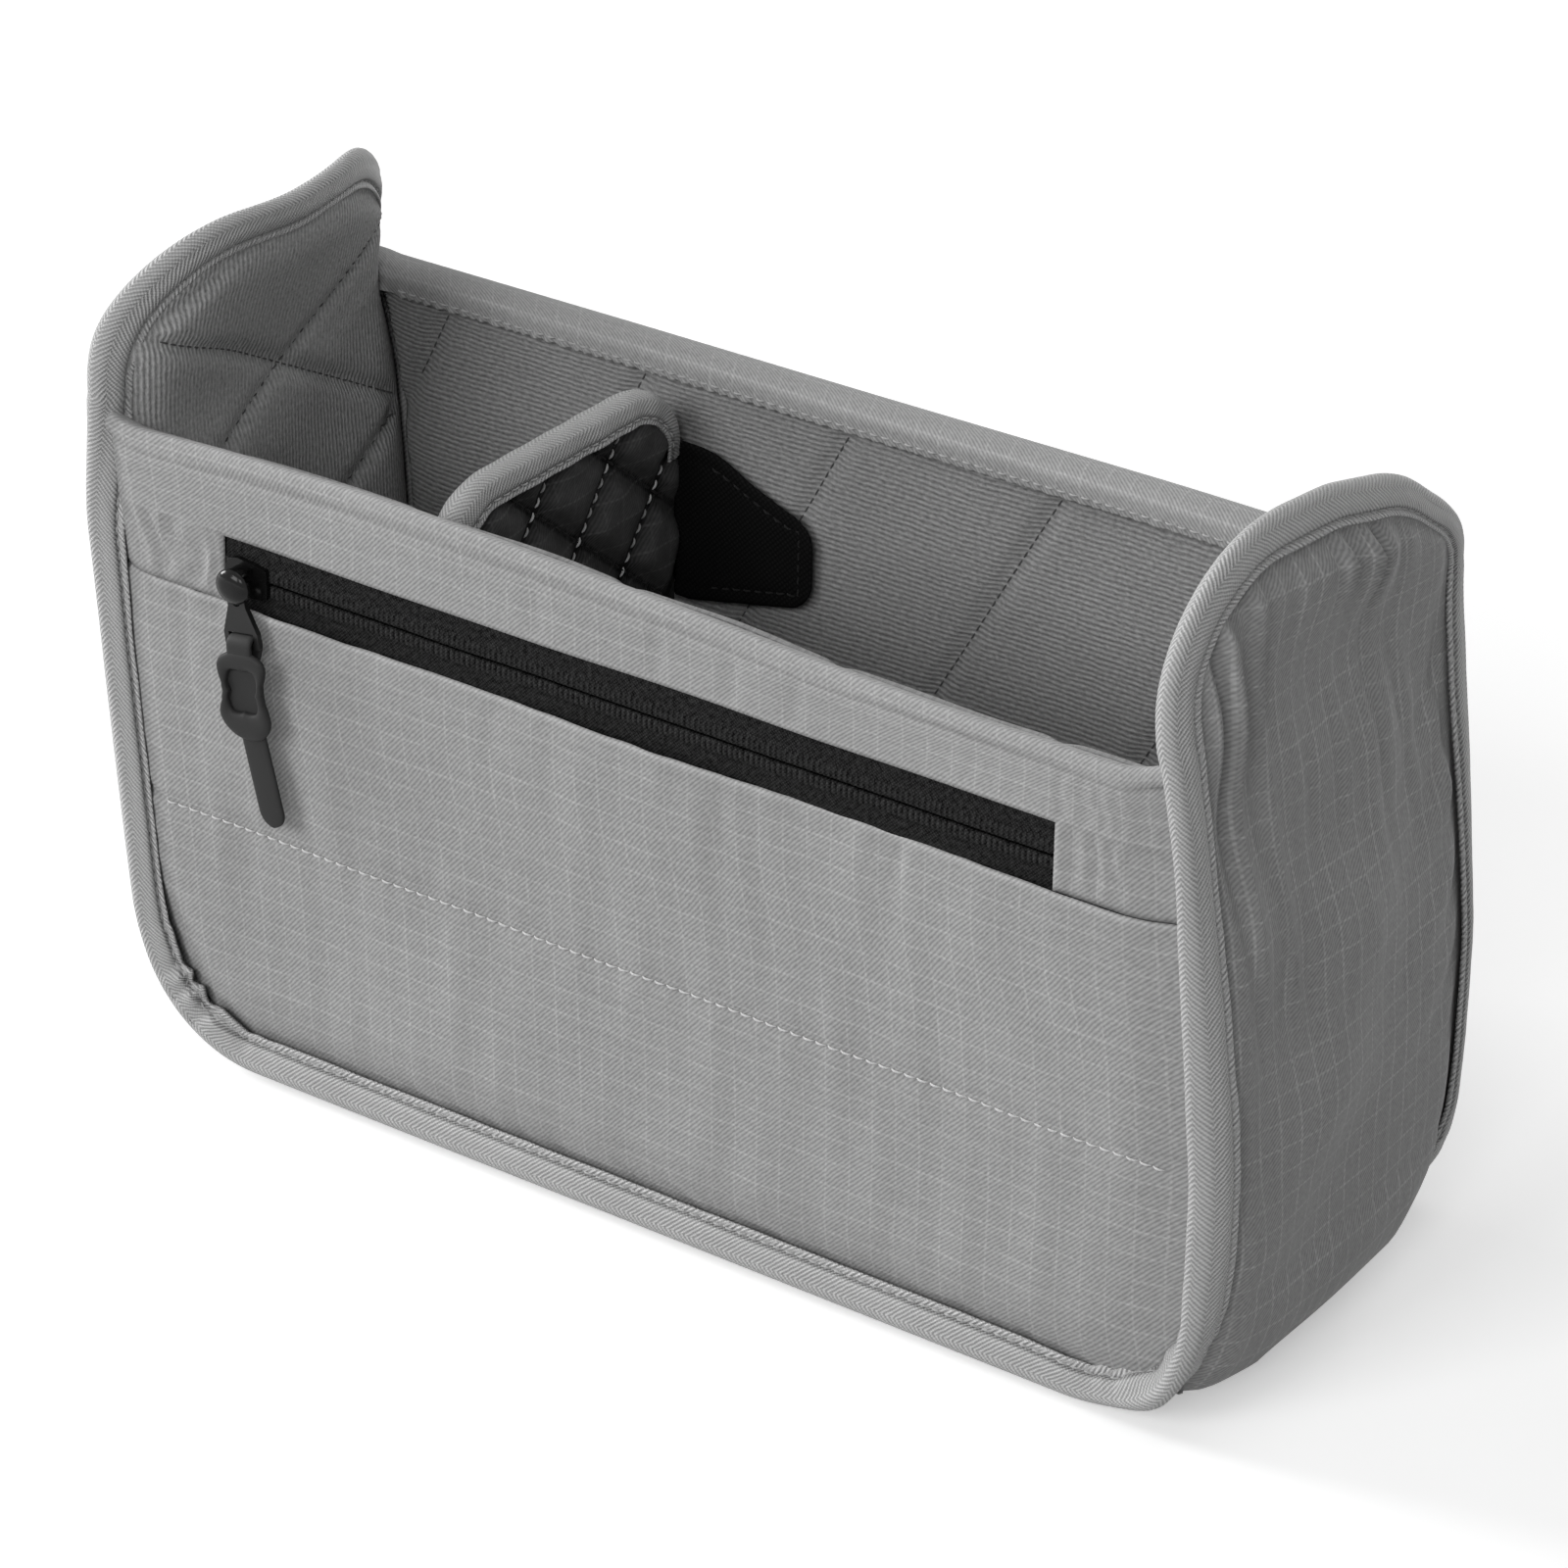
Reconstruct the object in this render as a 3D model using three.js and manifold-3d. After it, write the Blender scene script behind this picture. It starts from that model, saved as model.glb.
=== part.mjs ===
// Padded camera bag insert: a cloth gusset bound along its whole edge, padded front and back panels,
// a zipped front pocket with a looped rubber pull, and a quilted divider held by hook flaps.
// Millimetres, +Z up, +X to the right along the front, front face towards -Y.
import * as THREE from 'three';
import { mergeVertices } from 'three/addons/utils/BufferGeometryUtils.js';
import Module from 'manifold-3d';

// Outside of the bag
const SHELL_WIDTH = 266;
const SHELL_DEPTH = 106;
const PANEL_HEIGHT = 148;
const WALL_HEIGHT = 186;
const BASE_CORNER_RADIUS = 28;
const ARCH_RADIUS = 34;
const WALL_BELLY = 8;

// Layers of the padded walls
const CLOTH = 0.9;
const WALL_FOAM = 6;
const FRONT_FOAM = 5;
const LINING = 1.4;
const POCKET_LINER = 0.5;
const FACING_HEIGHT = 11;
const FOLD_RADIUS = 4;

// Gap between pieces that are sewn or lie face to face
const SEAM_GAP = 0.3;

// Edge binding: a tape folded over the cloth edge of the gusset
const BINDING_TAPE = 1;
const BINDING_DEPTH = 7.5;
const BINDING_PROUD = 0.8;

// Front pocket and its zip
const POCKET_SEAM_HEIGHT = 112.5;
const POCKET_DEPTH = 52;
const ZIP_END_MARGIN = 28.5;
const ZIP_WINDOW_HEIGHT = 14.8;
const ZIP_TAPE = 0.6;
const ZIP_TAPE_WIDTH = 15;
const ZIP_TAPE_OVERRUN = 10;
const CHAIN_SLOT = 1.8;
const COIL_WIDTH = 2.4;
const COIL_THICKNESS = 1.8;
const COIL_PITCH = 1.5;
const COIL_TOOTH = 0.5;

// Zip slider
const SLIDER_LENGTH = 11;
const SLIDER_SHOULDER = 8.8;
const SLIDER_TAIL = 7;
const SLIDER_PLATE = 1.2;
const SLIDER_FLANGE = 0.8;
const SLIDER_NECK_LENGTH = 3;
const SLIDER_NECK = 1;
const SLIDER_END_GAP = 1;
const STUD_RADIUS = 0.8;
const HOOD_RADIUS = 3.7;
const HOOD_HEIGHT = 1.6;
const HOOD_WALL = 0.9;
const HOOD_WALL_ARC = Math.PI / 3;

// Metal link and rubber pull
const PULL_CLEARANCE = 0.4;
const LINK_THICKNESS = 1.2;
const LINK_LENGTH = 13;
const LINK_EYE_WALL = 1.2;
const LINK_EYE_LENGTH = 5.6;
const LINK_BAR = 1.6;
const LINK_ARM = 1.2;
const STRAP = 1.2;
const STRAP_WIDTH = 6;
const LOOP_RADIUS = 1.2;
const LOOP_LEG = 2;
const PULL_LENGTH = 38.5;
const PULL_LEAN = 9;
const HEAD_TOP = 1;
const HEAD_SHOULDER = 3;
const HEAD_HIP = 13.5;
const HEAD_FOOT = 18.5;
const HEAD_WIDTH = 11;
const HEAD_WAIST = 8.8;
const HEAD_WINDOW_WIDTH = 6.8;
const HEAD_WINDOW_TOP = 4.8;
const HEAD_WINDOW_FOOT = 13;

// Divider
const DIVIDER_X = -56.5;
const DIVIDER_TOP = 144.5;
const DIVIDER_FOAM = 5;
const DIVIDER_FACE = 1.3;
const DIVIDER_CORNER_RADIUS = 19;
const DIVIDER_FOOT_RADIUS = 6;
const DIVIDER_FIT = 0.4;
const QUILT_PITCH = 22;
const QUILT_GROOVE_WIDTH = 3;
const QUILT_GROOVE_DEPTH = 0.8;
const RIM_TAPE = 1;
const RIM_DEPTH = 6;
const RIM_END = 129.5;

// Hook-and-loop flaps of the divider
const FLAP_WEB = 1.5;
const FLAP_HOOK = 1;
const FLAP_LENGTH = 34;
const FLAP_ROOT_LOW = 91;
const FLAP_ROOT_HIGH = 128;
const FLAP_TIP_LOW = 98;
const FLAP_TIP_HIGH = 118;
const FLAP_CORNER_RADIUS = 6;
const FLAP_HOOK_INSET = 3;

// Facets
const ARC_STEPS = 8;
const FINE_ARC_STEPS = 5;
const BELLY_STEPS = 6;

// Heights of the base layers; the binding's folded tape is what stands on the floor
const baseCloth = BINDING_TAPE + SEAM_GAP;
const baseFoam = baseCloth + CLOTH + SEAM_GAP;
const baseLining = baseFoam + WALL_FOAM + SEAM_GAP;
const baseInside = baseLining + LINING;

// Half widths of the end wall layers
const shellHalf = SHELL_WIDTH / 2;
const foamHalf = shellHalf - CLOTH - SEAM_GAP;
const liningHalf = foamHalf - WALL_FOAM - SEAM_GAP;
const panelInset = CLOTH + SEAM_GAP + BINDING_TAPE + SEAM_GAP;
const panelHalf = shellHalf - panelInset;

// Front layers, from the outside in
const frontCloth = -SHELL_DEPTH / 2;
const zipTapeFront = frontCloth + CLOTH + SEAM_GAP;
const coilFront = zipTapeFront + ZIP_TAPE + SEAM_GAP;
const linerFront = coilFront;
const frontFoam = linerFront + POCKET_LINER + SEAM_GAP;
const frontLining = frontFoam + FRONT_FOAM + SEAM_GAP;
const frontInside = frontLining + LINING;
const frontFacing = frontInside + SEAM_GAP;

// Back layers, from the outside in
const backCloth = SHELL_DEPTH / 2;
const backFoam = backCloth - CLOTH - SEAM_GAP;
const backLining = backFoam - WALL_FOAM - SEAM_GAP;
const backInside = backLining - LINING;
const backFacing = backInside - SEAM_GAP;

// Where the padding ends below the folded top edges
const padTop = PANEL_HEIGHT - FOLD_RADIUS;

// Edge of the gusset cloth inside its binding
const noseReach = SHELL_DEPTH / 2 + BINDING_PROUD;
const clothEdge = noseReach - BINDING_TAPE - SEAM_GAP;
const clothTop = WALL_HEIGHT - BINDING_TAPE - SEAM_GAP;
const clothArchRadius = ARCH_RADIUS - BINDING_TAPE - SEAM_GAP;

// The padded end walls swell between their rounded base corners and the top of the panels, clear of the binding
const padInset = BINDING_DEPTH + SEAM_GAP;
const padHalf = noseReach - padInset;
const bellyFoot = baseCloth + BASE_CORNER_RADIUS;
const bellyTop = PANEL_HEIGHT;

// Zip chain and the plane in which the pull hangs
const zipCentre = POCKET_SEAM_HEIGHT + ZIP_WINDOW_HEIGHT / 2;
const zipWindowHalf = panelHalf - ZIP_END_MARGIN;
const zipTapeHalf = zipWindowHalf + ZIP_TAPE_OVERRUN;
const coilBack = coilFront + COIL_THICKNESS;
const sliderRest = -zipWindowHalf + SLIDER_LENGTH / 2 + SLIDER_END_GAP;
const pullPlane = -(noseReach + PULL_CLEARANCE + STRAP + LOOP_RADIUS);
const hoodBack = pullPlane - LINK_THICKNESS / 2 - SEAM_GAP;
const hoodFront = hoodBack - HOOD_HEIGHT;
const pullFront = Math.min(hoodFront, pullPlane - LOOP_RADIUS - STRAP);

// Divider thickness and the hinge lines of its flaps
const dividerHalf = DIVIDER_FOAM / 2 + SEAM_GAP + DIVIDER_FACE;
const flapRoot = DIVIDER_X + dividerHalf + SEAM_GAP + FLAP_WEB / 2;
const flapReach = SEAM_GAP + FLAP_HOOK + SEAM_GAP + FLAP_WEB / 2;

const wasm = await Module();
wasm.setup();

// Solid for joining and cutting, made from a closed geometry
function solidOf(geometry) {
  const bare = geometry.clone();
  bare.deleteAttribute('normal');
  bare.deleteAttribute('uv');
  const merged = mergeVertices(bare, 1e-4);
  const vertProperties = new Float32Array(merged.attributes.position.array);
  const triVerts = new Uint32Array(merged.index.array);
  return new wasm.Manifold(new wasm.Mesh({ numProp: 3, vertProperties, triVerts }));
}

function geometryOf(solid) {
  const mesh = solid.getMesh();
  const geometry = new THREE.BufferGeometry();
  geometry.setAttribute('position', new THREE.BufferAttribute(new Float32Array(mesh.vertProperties), 3));
  geometry.setIndex(new THREE.BufferAttribute(new Uint32Array(mesh.triVerts), 1));
  geometry.computeVertexNormals();
  return geometry;
}

function extrude(shape, depth, steps = ARC_STEPS) {
  return new THREE.ExtrudeGeometry(shape, { depth, bevelEnabled: false, curveSegments: steps });
}

// A shape drawn in X and Z, as thick as the distance between two places in Y
function slabFacingY(shape, front, back, steps) {
  return extrude(shape, back - front, steps).rotateX(Math.PI / 2).translate(0, back, 0);
}

// A shape drawn in Y and Z, running between two places in X
function slabFacingX(shape, low, high, steps) {
  const along = new THREE.Vector3(1, 0, 0);
  const across = new THREE.Vector3(0, 1, 0);
  const up = new THREE.Vector3(0, 0, 1);
  const turn = new THREE.Matrix4().makeBasis(across, up, along);
  return extrude(shape, high - low, steps).applyMatrix4(turn).translate(low, 0, 0);
}

function box(low, high) {
  const size = high.map((value, axis) => value - low[axis]);
  const centre = high.map((value, axis) => (value + low[axis]) / 2);
  return new THREE.BoxGeometry(...size).translate(...centre);
}

// Panel outline with rounded lower corners
function panelShape(half, bottom, top, radius) {
  const shape = new THREE.Shape();
  shape.moveTo(half, top);
  shape.lineTo(-half, top);
  shape.lineTo(-half, bottom + radius);
  shape.absarc(-half + radius, bottom + radius, radius, Math.PI, 1.5 * Math.PI, false);
  shape.lineTo(half - radius, bottom);
  shape.absarc(half - radius, bottom + radius, radius, 1.5 * Math.PI, 2 * Math.PI, false);
  shape.closePath();
  return shape;
}

// How far an end wall swells outwards at a depth and a height
function belly(y, z) {
  const across = Math.min(Math.abs(y) / padHalf, 1);
  const climb = Math.min(Math.max((z - bellyFoot) / (bellyTop - bellyFoot), 0), 1);
  return WALL_BELLY * Math.cos(across * Math.PI / 2) ** 2 * Math.sin(climb * Math.PI) ** 2;
}

// Carries an outline in X and Z from the front to the back and swells its end walls
function swollenStrip(shape, depthHalf) {
  const outline = shape.extractPoints(ARC_STEPS).shape;
  const places = [-depthHalf];
  for (let step = 0; step <= BELLY_STEPS; step += 1) {
    const y = padHalf * (2 * step / BELLY_STEPS - 1);
    if (Math.abs(y) < depthHalf - SEAM_GAP) places.push(y);
  }
  places.push(depthHalf);

  const positions = [];
  for (const y of places) {
    for (const point of outline) {
      positions.push(point.x + Math.sign(point.x) * belly(y, point.y), y, point.y);
    }
  }
  const count = outline.length;
  const last = (places.length - 1) * count;
  const index = [];
  for (let ring = 0; ring < last; ring += count) {
    for (let side = 0; side < count; side += 1) {
      const other = (side + 1) % count;
      const corners = [ring + side, ring + count + side, ring + count + other, ring + other];
      // Facing layers run opposite ways but share their diagonals, so that they stay parallel
      const turn = outline[other].y < outline[side].y ? 1 : 0;
      for (const pick of [[0, 1, 2], [0, 2, 3]]) {
        index.push(...pick.map((corner) => corners[(corner + turn) % 4]));
      }
    }
  }
  for (const [a, b, c] of THREE.ShapeUtils.triangulateShape(outline, [])) {
    index.push(a, b, c, last + a, last + c, last + b);
  }
  const geometry = new THREE.BufferGeometry();
  geometry.setAttribute('position', new THREE.Float32BufferAttribute(positions, 3));
  geometry.setIndex(index);
  return geometry;
}

// One layer of the gusset: a strip that runs down one end wall, under the base and up the other
function gussetShape(half, bottom, thickness, top) {
  const radius = BASE_CORNER_RADIUS - (shellHalf - half);
  const inner = radius - thickness;
  const centre = half - radius;
  const shape = new THREE.Shape();
  const wall = (x, upwards) => {
    for (let step = 1; step <= BELLY_STEPS; step += 1) {
      const share = (upwards ? step : BELLY_STEPS - step) / BELLY_STEPS;
      shape.lineTo(x, bellyFoot + share * (bellyTop - bellyFoot));
    }
  };
  shape.moveTo(-half, top);
  shape.lineTo(-half, bellyTop);
  wall(-half, false);
  shape.absarc(-centre, bottom + radius, radius, Math.PI, 1.5 * Math.PI, false);
  shape.lineTo(centre, bottom);
  shape.absarc(centre, bottom + radius, radius, 1.5 * Math.PI, 2 * Math.PI, false);
  wall(half, true);
  shape.lineTo(half, top);
  shape.lineTo(half - thickness, top);
  shape.lineTo(half - thickness, bellyTop);
  wall(half - thickness, false);
  shape.absarc(centre, bottom + radius, inner, 2 * Math.PI, 1.5 * Math.PI, true);
  shape.lineTo(-centre, bottom + thickness);
  shape.absarc(-centre, bottom + radius, inner, 1.5 * Math.PI, Math.PI, true);
  wall(thickness - half, true);
  shape.lineTo(-half + thickness, top);
  shape.closePath();
  return shape;
}

// End wall outline with rounded upper corners
function archShape(half, bottom, top, radius) {
  const shape = new THREE.Shape();
  shape.moveTo(-half, bottom);
  shape.lineTo(half, bottom);
  shape.lineTo(half, top - radius);
  shape.absarc(half - radius, top - radius, radius, 0, Math.PI / 2, false);
  shape.lineTo(-half + radius, top);
  shape.absarc(-half + radius, top - radius, radius, Math.PI / 2, Math.PI, false);
  shape.closePath();
  return shape;
}

function gussetShell() {
  const strip = swollenStrip(gussetShape(shellHalf, baseCloth, CLOTH, WALL_HEIGHT), clothEdge);
  const arch = slabFacingX(archShape(clothEdge, 0, clothTop, clothArchRadius), -SHELL_WIDTH, SHELL_WIDTH);
  return geometryOf(solidOf(strip).intersect(solidOf(arch)));
}

// Padding and lining of the gusset: between the panels below, as deep as the binding allows above them
function gussetPad(half, bottom, thickness) {
  const radius = ARCH_RADIUS - padInset;
  const strip = swollenStrip(gussetShape(half, bottom, thickness, WALL_HEIGHT), padHalf);
  const arch = slabFacingX(archShape(padHalf, 0, WALL_HEIGHT - padInset, radius), -SHELL_WIDTH, SHELL_WIDTH);
  const shoulder = PANEL_HEIGHT + SEAM_GAP;
  const frontRoom = box([-SHELL_WIDTH, -SHELL_DEPTH, -1], [SHELL_WIDTH, frontFacing + CLOTH + SEAM_GAP, shoulder]);
  const backRoom = box([-SHELL_WIDTH, backFacing - CLOTH - SEAM_GAP, -1], [SHELL_WIDTH, SHELL_DEPTH, shoulder]);
  const pad = solidOf(strip).intersect(solidOf(arch));
  return geometryOf(pad.subtract(solidOf(frontRoom)).subtract(solidOf(backRoom)));
}

// Stations along the edge of the gusset cloth: place, outward normal of the cloth, and the way off its edge
function bindingStations() {
  const half = shellHalf - CLOTH / 2;
  const low = baseCloth + CLOTH / 2;
  const radius = BASE_CORNER_RADIUS - CLOTH / 2;
  const stations = [];
  const add = (x, y, z, normal, edge) => stations.push({ place: new THREE.Vector3(x, y, z), normal, edge });

  // Up the front edge, over the arch and down the back edge on the right, the other way on the left
  const wall = (side) => {
    const normal = new THREE.Vector3(side, 0, 0);
    const spring = clothTop - clothArchRadius;
    for (const end of [-side, side]) {
      const centre = end * (clothEdge - clothArchRadius);
      for (let step = 0; step <= ARC_STEPS; step += 1) {
        const share = end === -side ? step / ARC_STEPS : 1 - step / ARC_STEPS;
        const angle = share * Math.PI / 2;
        const edge = new THREE.Vector3(0, end * Math.cos(angle), Math.sin(angle));
        const y = centre + clothArchRadius * edge.y;
        add(side * half, y, spring + clothArchRadius * edge.z, normal, edge);
      }
    }
  };

  // Round the two base corners, from the wall on one side to the wall on the other
  const base = (side) => {
    const edge = new THREE.Vector3(0, side, 0);
    for (const corner of [side, -side]) {
      for (let step = 0; step <= ARC_STEPS; step += 1) {
        const share = corner === side ? step / ARC_STEPS : 1 - step / ARC_STEPS;
        const angle = share * Math.PI / 2;
        const normal = new THREE.Vector3(corner * Math.cos(angle), 0, -Math.sin(angle));
        const x = corner * (half - radius) + radius * normal.x;
        add(x, side * clothEdge, low + radius + radius * normal.z, normal, edge);
      }
    }
  };

  wall(1);
  base(1);
  wall(-1);
  base(-1);
  return stations;
}

// Channel of folded tape swept round the closed edge: [way off the edge, way out of the cloth]
function edgeBinding() {
  const slot = CLOTH / 2 + SEAM_GAP;
  const outer = slot + BINDING_TAPE;
  const nose = SEAM_GAP + BINDING_TAPE;
  const lip = nose - BINDING_DEPTH;
  const bevel = BINDING_TAPE * 0.8;
  const section = [
    [lip, outer], [nose - bevel, outer], [nose, outer - bevel],
    [nose, bevel - outer], [nose - bevel, -outer], [lip, -outer],
    [lip, -slot], [SEAM_GAP, -slot], [SEAM_GAP, slot], [lip, slot],
  ];
  const stations = bindingStations();
  const positions = [];
  for (const { place, normal, edge } of stations) {
    for (const [off, out] of section) {
      const point = place.clone().addScaledVector(edge, off).addScaledVector(normal, out);
      positions.push(point.x, point.y, point.z);
    }
  }
  const count = section.length;
  const index = [];
  for (let ring = 0; ring < stations.length; ring += 1) {
    const here = ring * count;
    const next = ((ring + 1) % stations.length) * count;
    for (let side = 0; side < count; side += 1) {
      const other = (side + 1) % count;
      index.push(here + side, next + other, here + other, here + side, next + side, next + other);
    }
  }
  const geometry = new THREE.BufferGeometry();
  geometry.setAttribute('position', new THREE.Float32BufferAttribute(positions, 3));
  geometry.setIndex(index);
  geometry.computeVertexNormals();
  return geometry;
}

// Plain layer of the front or back panel
function panelLayer(front, back, top) {
  const radius = BASE_CORNER_RADIUS - panelInset;
  return slabFacingY(panelShape(panelHalf, baseCloth + panelInset, top, radius), front, back);
}

// Outer cloth folded over the top edge and down the inside as a facing; inward is +1 or -1 in Y
function foldedCloth(outside, facing, inward, bottom) {
  const inside = facing + inward * CLOTH;
  const reach = Math.abs(inside - outside);
  const turn = Math.min(FOLD_RADIUS, reach / 2);
  const inner = turn - CLOTH;
  const top = PANEL_HEIGHT;
  const low = top - FACING_HEIGHT;
  const at = (depth) => outside + inward * depth;
  const quarter = Math.PI / 2;
  const outward = inward > 0 ? Math.PI : 0;
  const shape = new THREE.Shape();
  shape.moveTo(at(0), bottom);
  shape.absarc(at(turn), top - turn, turn, outward, quarter, inward > 0);
  shape.absarc(at(reach - turn), top - turn, turn, quarter, Math.PI - outward, inward > 0);
  shape.lineTo(at(reach), low);
  shape.lineTo(at(reach - CLOTH), low);
  shape.absarc(at(reach - turn), top - turn, inner, Math.PI - outward, quarter, inward < 0);
  shape.absarc(at(turn), top - turn, inner, quarter, outward, inward < 0);
  shape.lineTo(at(CLOTH), bottom);
  shape.closePath();
  return slabFacingX(shape, -panelHalf, panelHalf, FINE_ARC_STEPS);
}

function frontTopPanel() {
  const top = POCKET_SEAM_HEIGHT + ZIP_WINDOW_HEIGHT;
  const window = box([-zipWindowHalf, frontCloth - 1, 0], [zipWindowHalf, frontCloth + CLOTH + SEAM_GAP, top]);
  const folded = foldedCloth(frontCloth, frontFacing, 1, POCKET_SEAM_HEIGHT);
  return geometryOf(solidOf(folded).subtract(solidOf(window)));
}

// Back panel: the folded cloth, rounded at its lower corners like the layers behind it
function backPanel() {
  const radius = BASE_CORNER_RADIUS - panelInset;
  const bottom = baseCloth + panelInset;
  const folded = foldedCloth(backCloth, backFacing, -1, bottom);
  const outline = slabFacingY(panelShape(panelHalf, bottom, WALL_HEIGHT, radius), 0, SHELL_DEPTH);
  return geometryOf(solidOf(folded).intersect(solidOf(outline)));
}

// Room behind the zip chain for the slider's lower plate
const sliderBack = coilBack + SEAM_GAP + SLIDER_PLATE;
const chainLinerFront = sliderBack + SEAM_GAP;
const chainRoomHalf = SLIDER_SHOULDER / 2 + SLIDER_FLANGE;

// Back layer of the pocket: hangs from the zip's upper tape to the pocket's bottom seam
function pocketLiner() {
  const low = POCKET_SEAM_HEIGHT - POCKET_DEPTH;
  const high = zipCentre + CHAIN_SLOT / 2 + ZIP_TAPE_WIDTH;
  const jog = chainLinerFront - linerFront;
  const shape = new THREE.Shape();
  shape.moveTo(linerFront, low);
  shape.lineTo(linerFront + POCKET_LINER, low);
  shape.lineTo(linerFront + POCKET_LINER, zipCentre - chainRoomHalf - jog);
  shape.lineTo(chainLinerFront + POCKET_LINER, zipCentre - chainRoomHalf);
  shape.lineTo(chainLinerFront + POCKET_LINER, zipCentre + chainRoomHalf);
  shape.lineTo(linerFront + POCKET_LINER, zipCentre + chainRoomHalf + jog);
  shape.lineTo(linerFront + POCKET_LINER, high);
  shape.lineTo(linerFront, high);
  shape.lineTo(linerFront, zipCentre + chainRoomHalf + jog + POCKET_LINER);
  shape.lineTo(chainLinerFront, zipCentre + chainRoomHalf - POCKET_LINER);
  shape.lineTo(chainLinerFront, zipCentre - chainRoomHalf + POCKET_LINER);
  shape.lineTo(linerFront, zipCentre - chainRoomHalf - jog - POCKET_LINER);
  shape.closePath();
  return slabFacingX(shape, -panelHalf, panelHalf);
}

// Front padding, pressed in behind the zip chain
function frontPad() {
  const depth = chainLinerFront + POCKET_LINER + SEAM_GAP;
  const jog = depth - frontFoam;
  const groove = new THREE.Shape();
  groove.moveTo(frontFoam - 1, zipCentre - chainRoomHalf - jog - 1 - 2 * SEAM_GAP);
  groove.lineTo(depth, zipCentre - chainRoomHalf - 2 * SEAM_GAP);
  groove.lineTo(depth, zipCentre + chainRoomHalf + 2 * SEAM_GAP);
  groove.lineTo(frontFoam - 1, zipCentre + chainRoomHalf + jog + 1 + 2 * SEAM_GAP);
  groove.closePath();
  const pad = panelLayer(frontFoam, frontFoam + FRONT_FOAM, padTop);
  return geometryOf(solidOf(pad).subtract(solidOf(slabFacingX(groove, -SHELL_WIDTH, SHELL_WIDTH))));
}

// One side of the zip: side is +1 above the chain and -1 below it
function zipTape(side) {
  const near = zipCentre + side * CHAIN_SLOT / 2;
  const far = near + side * ZIP_TAPE_WIDTH;
  const low = [-zipTapeHalf, zipTapeFront, Math.min(near, far)];
  const high = [zipTapeHalf, zipTapeFront + ZIP_TAPE, Math.max(near, far)];
  return box(low, high);
}

// Coil of one side, with its teeth towards the chain's centre line
function zipCoil(side) {
  const half = zipWindowHalf;
  const near = zipCentre + side * CHAIN_SLOT / 2;
  const root = near + side * COIL_TOOTH;
  const far = near + side * COIL_WIDTH;
  const teeth = Math.floor(2 * half / COIL_PITCH);
  const pitch = 2 * half / teeth;
  const shape = new THREE.Shape();
  shape.moveTo(-half, far);
  for (let tooth = 0; tooth < teeth; tooth += 1) {
    shape.lineTo(-half + tooth * pitch, root);
    shape.lineTo(-half + (tooth + 0.5) * pitch, near);
  }
  shape.lineTo(half, root);
  shape.lineTo(half, far);
  shape.closePath();
  return slabFacingY(shape, coilFront, coilBack);
}

// Outline of the slider's plates, broad at the end that leads when the zip closes
function sliderShape() {
  const half = SLIDER_LENGTH / 2;
  const shoulder = SLIDER_SHOULDER / 2;
  const tail = SLIDER_TAIL / 2;
  const shape = new THREE.Shape();
  shape.moveTo(-half, 0);
  shape.quadraticCurveTo(-half, -shoulder, -half / 3, -shoulder);
  shape.lineTo(half - 1, -tail);
  shape.quadraticCurveTo(half, -tail, half, 1 - tail);
  shape.lineTo(half, tail - 1);
  shape.quadraticCurveTo(half, tail, half - 1, tail);
  shape.lineTo(-half / 3, shoulder);
  shape.quadraticCurveTo(-half, shoulder, -half, 0);
  shape.closePath();
  return shape;
}

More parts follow.
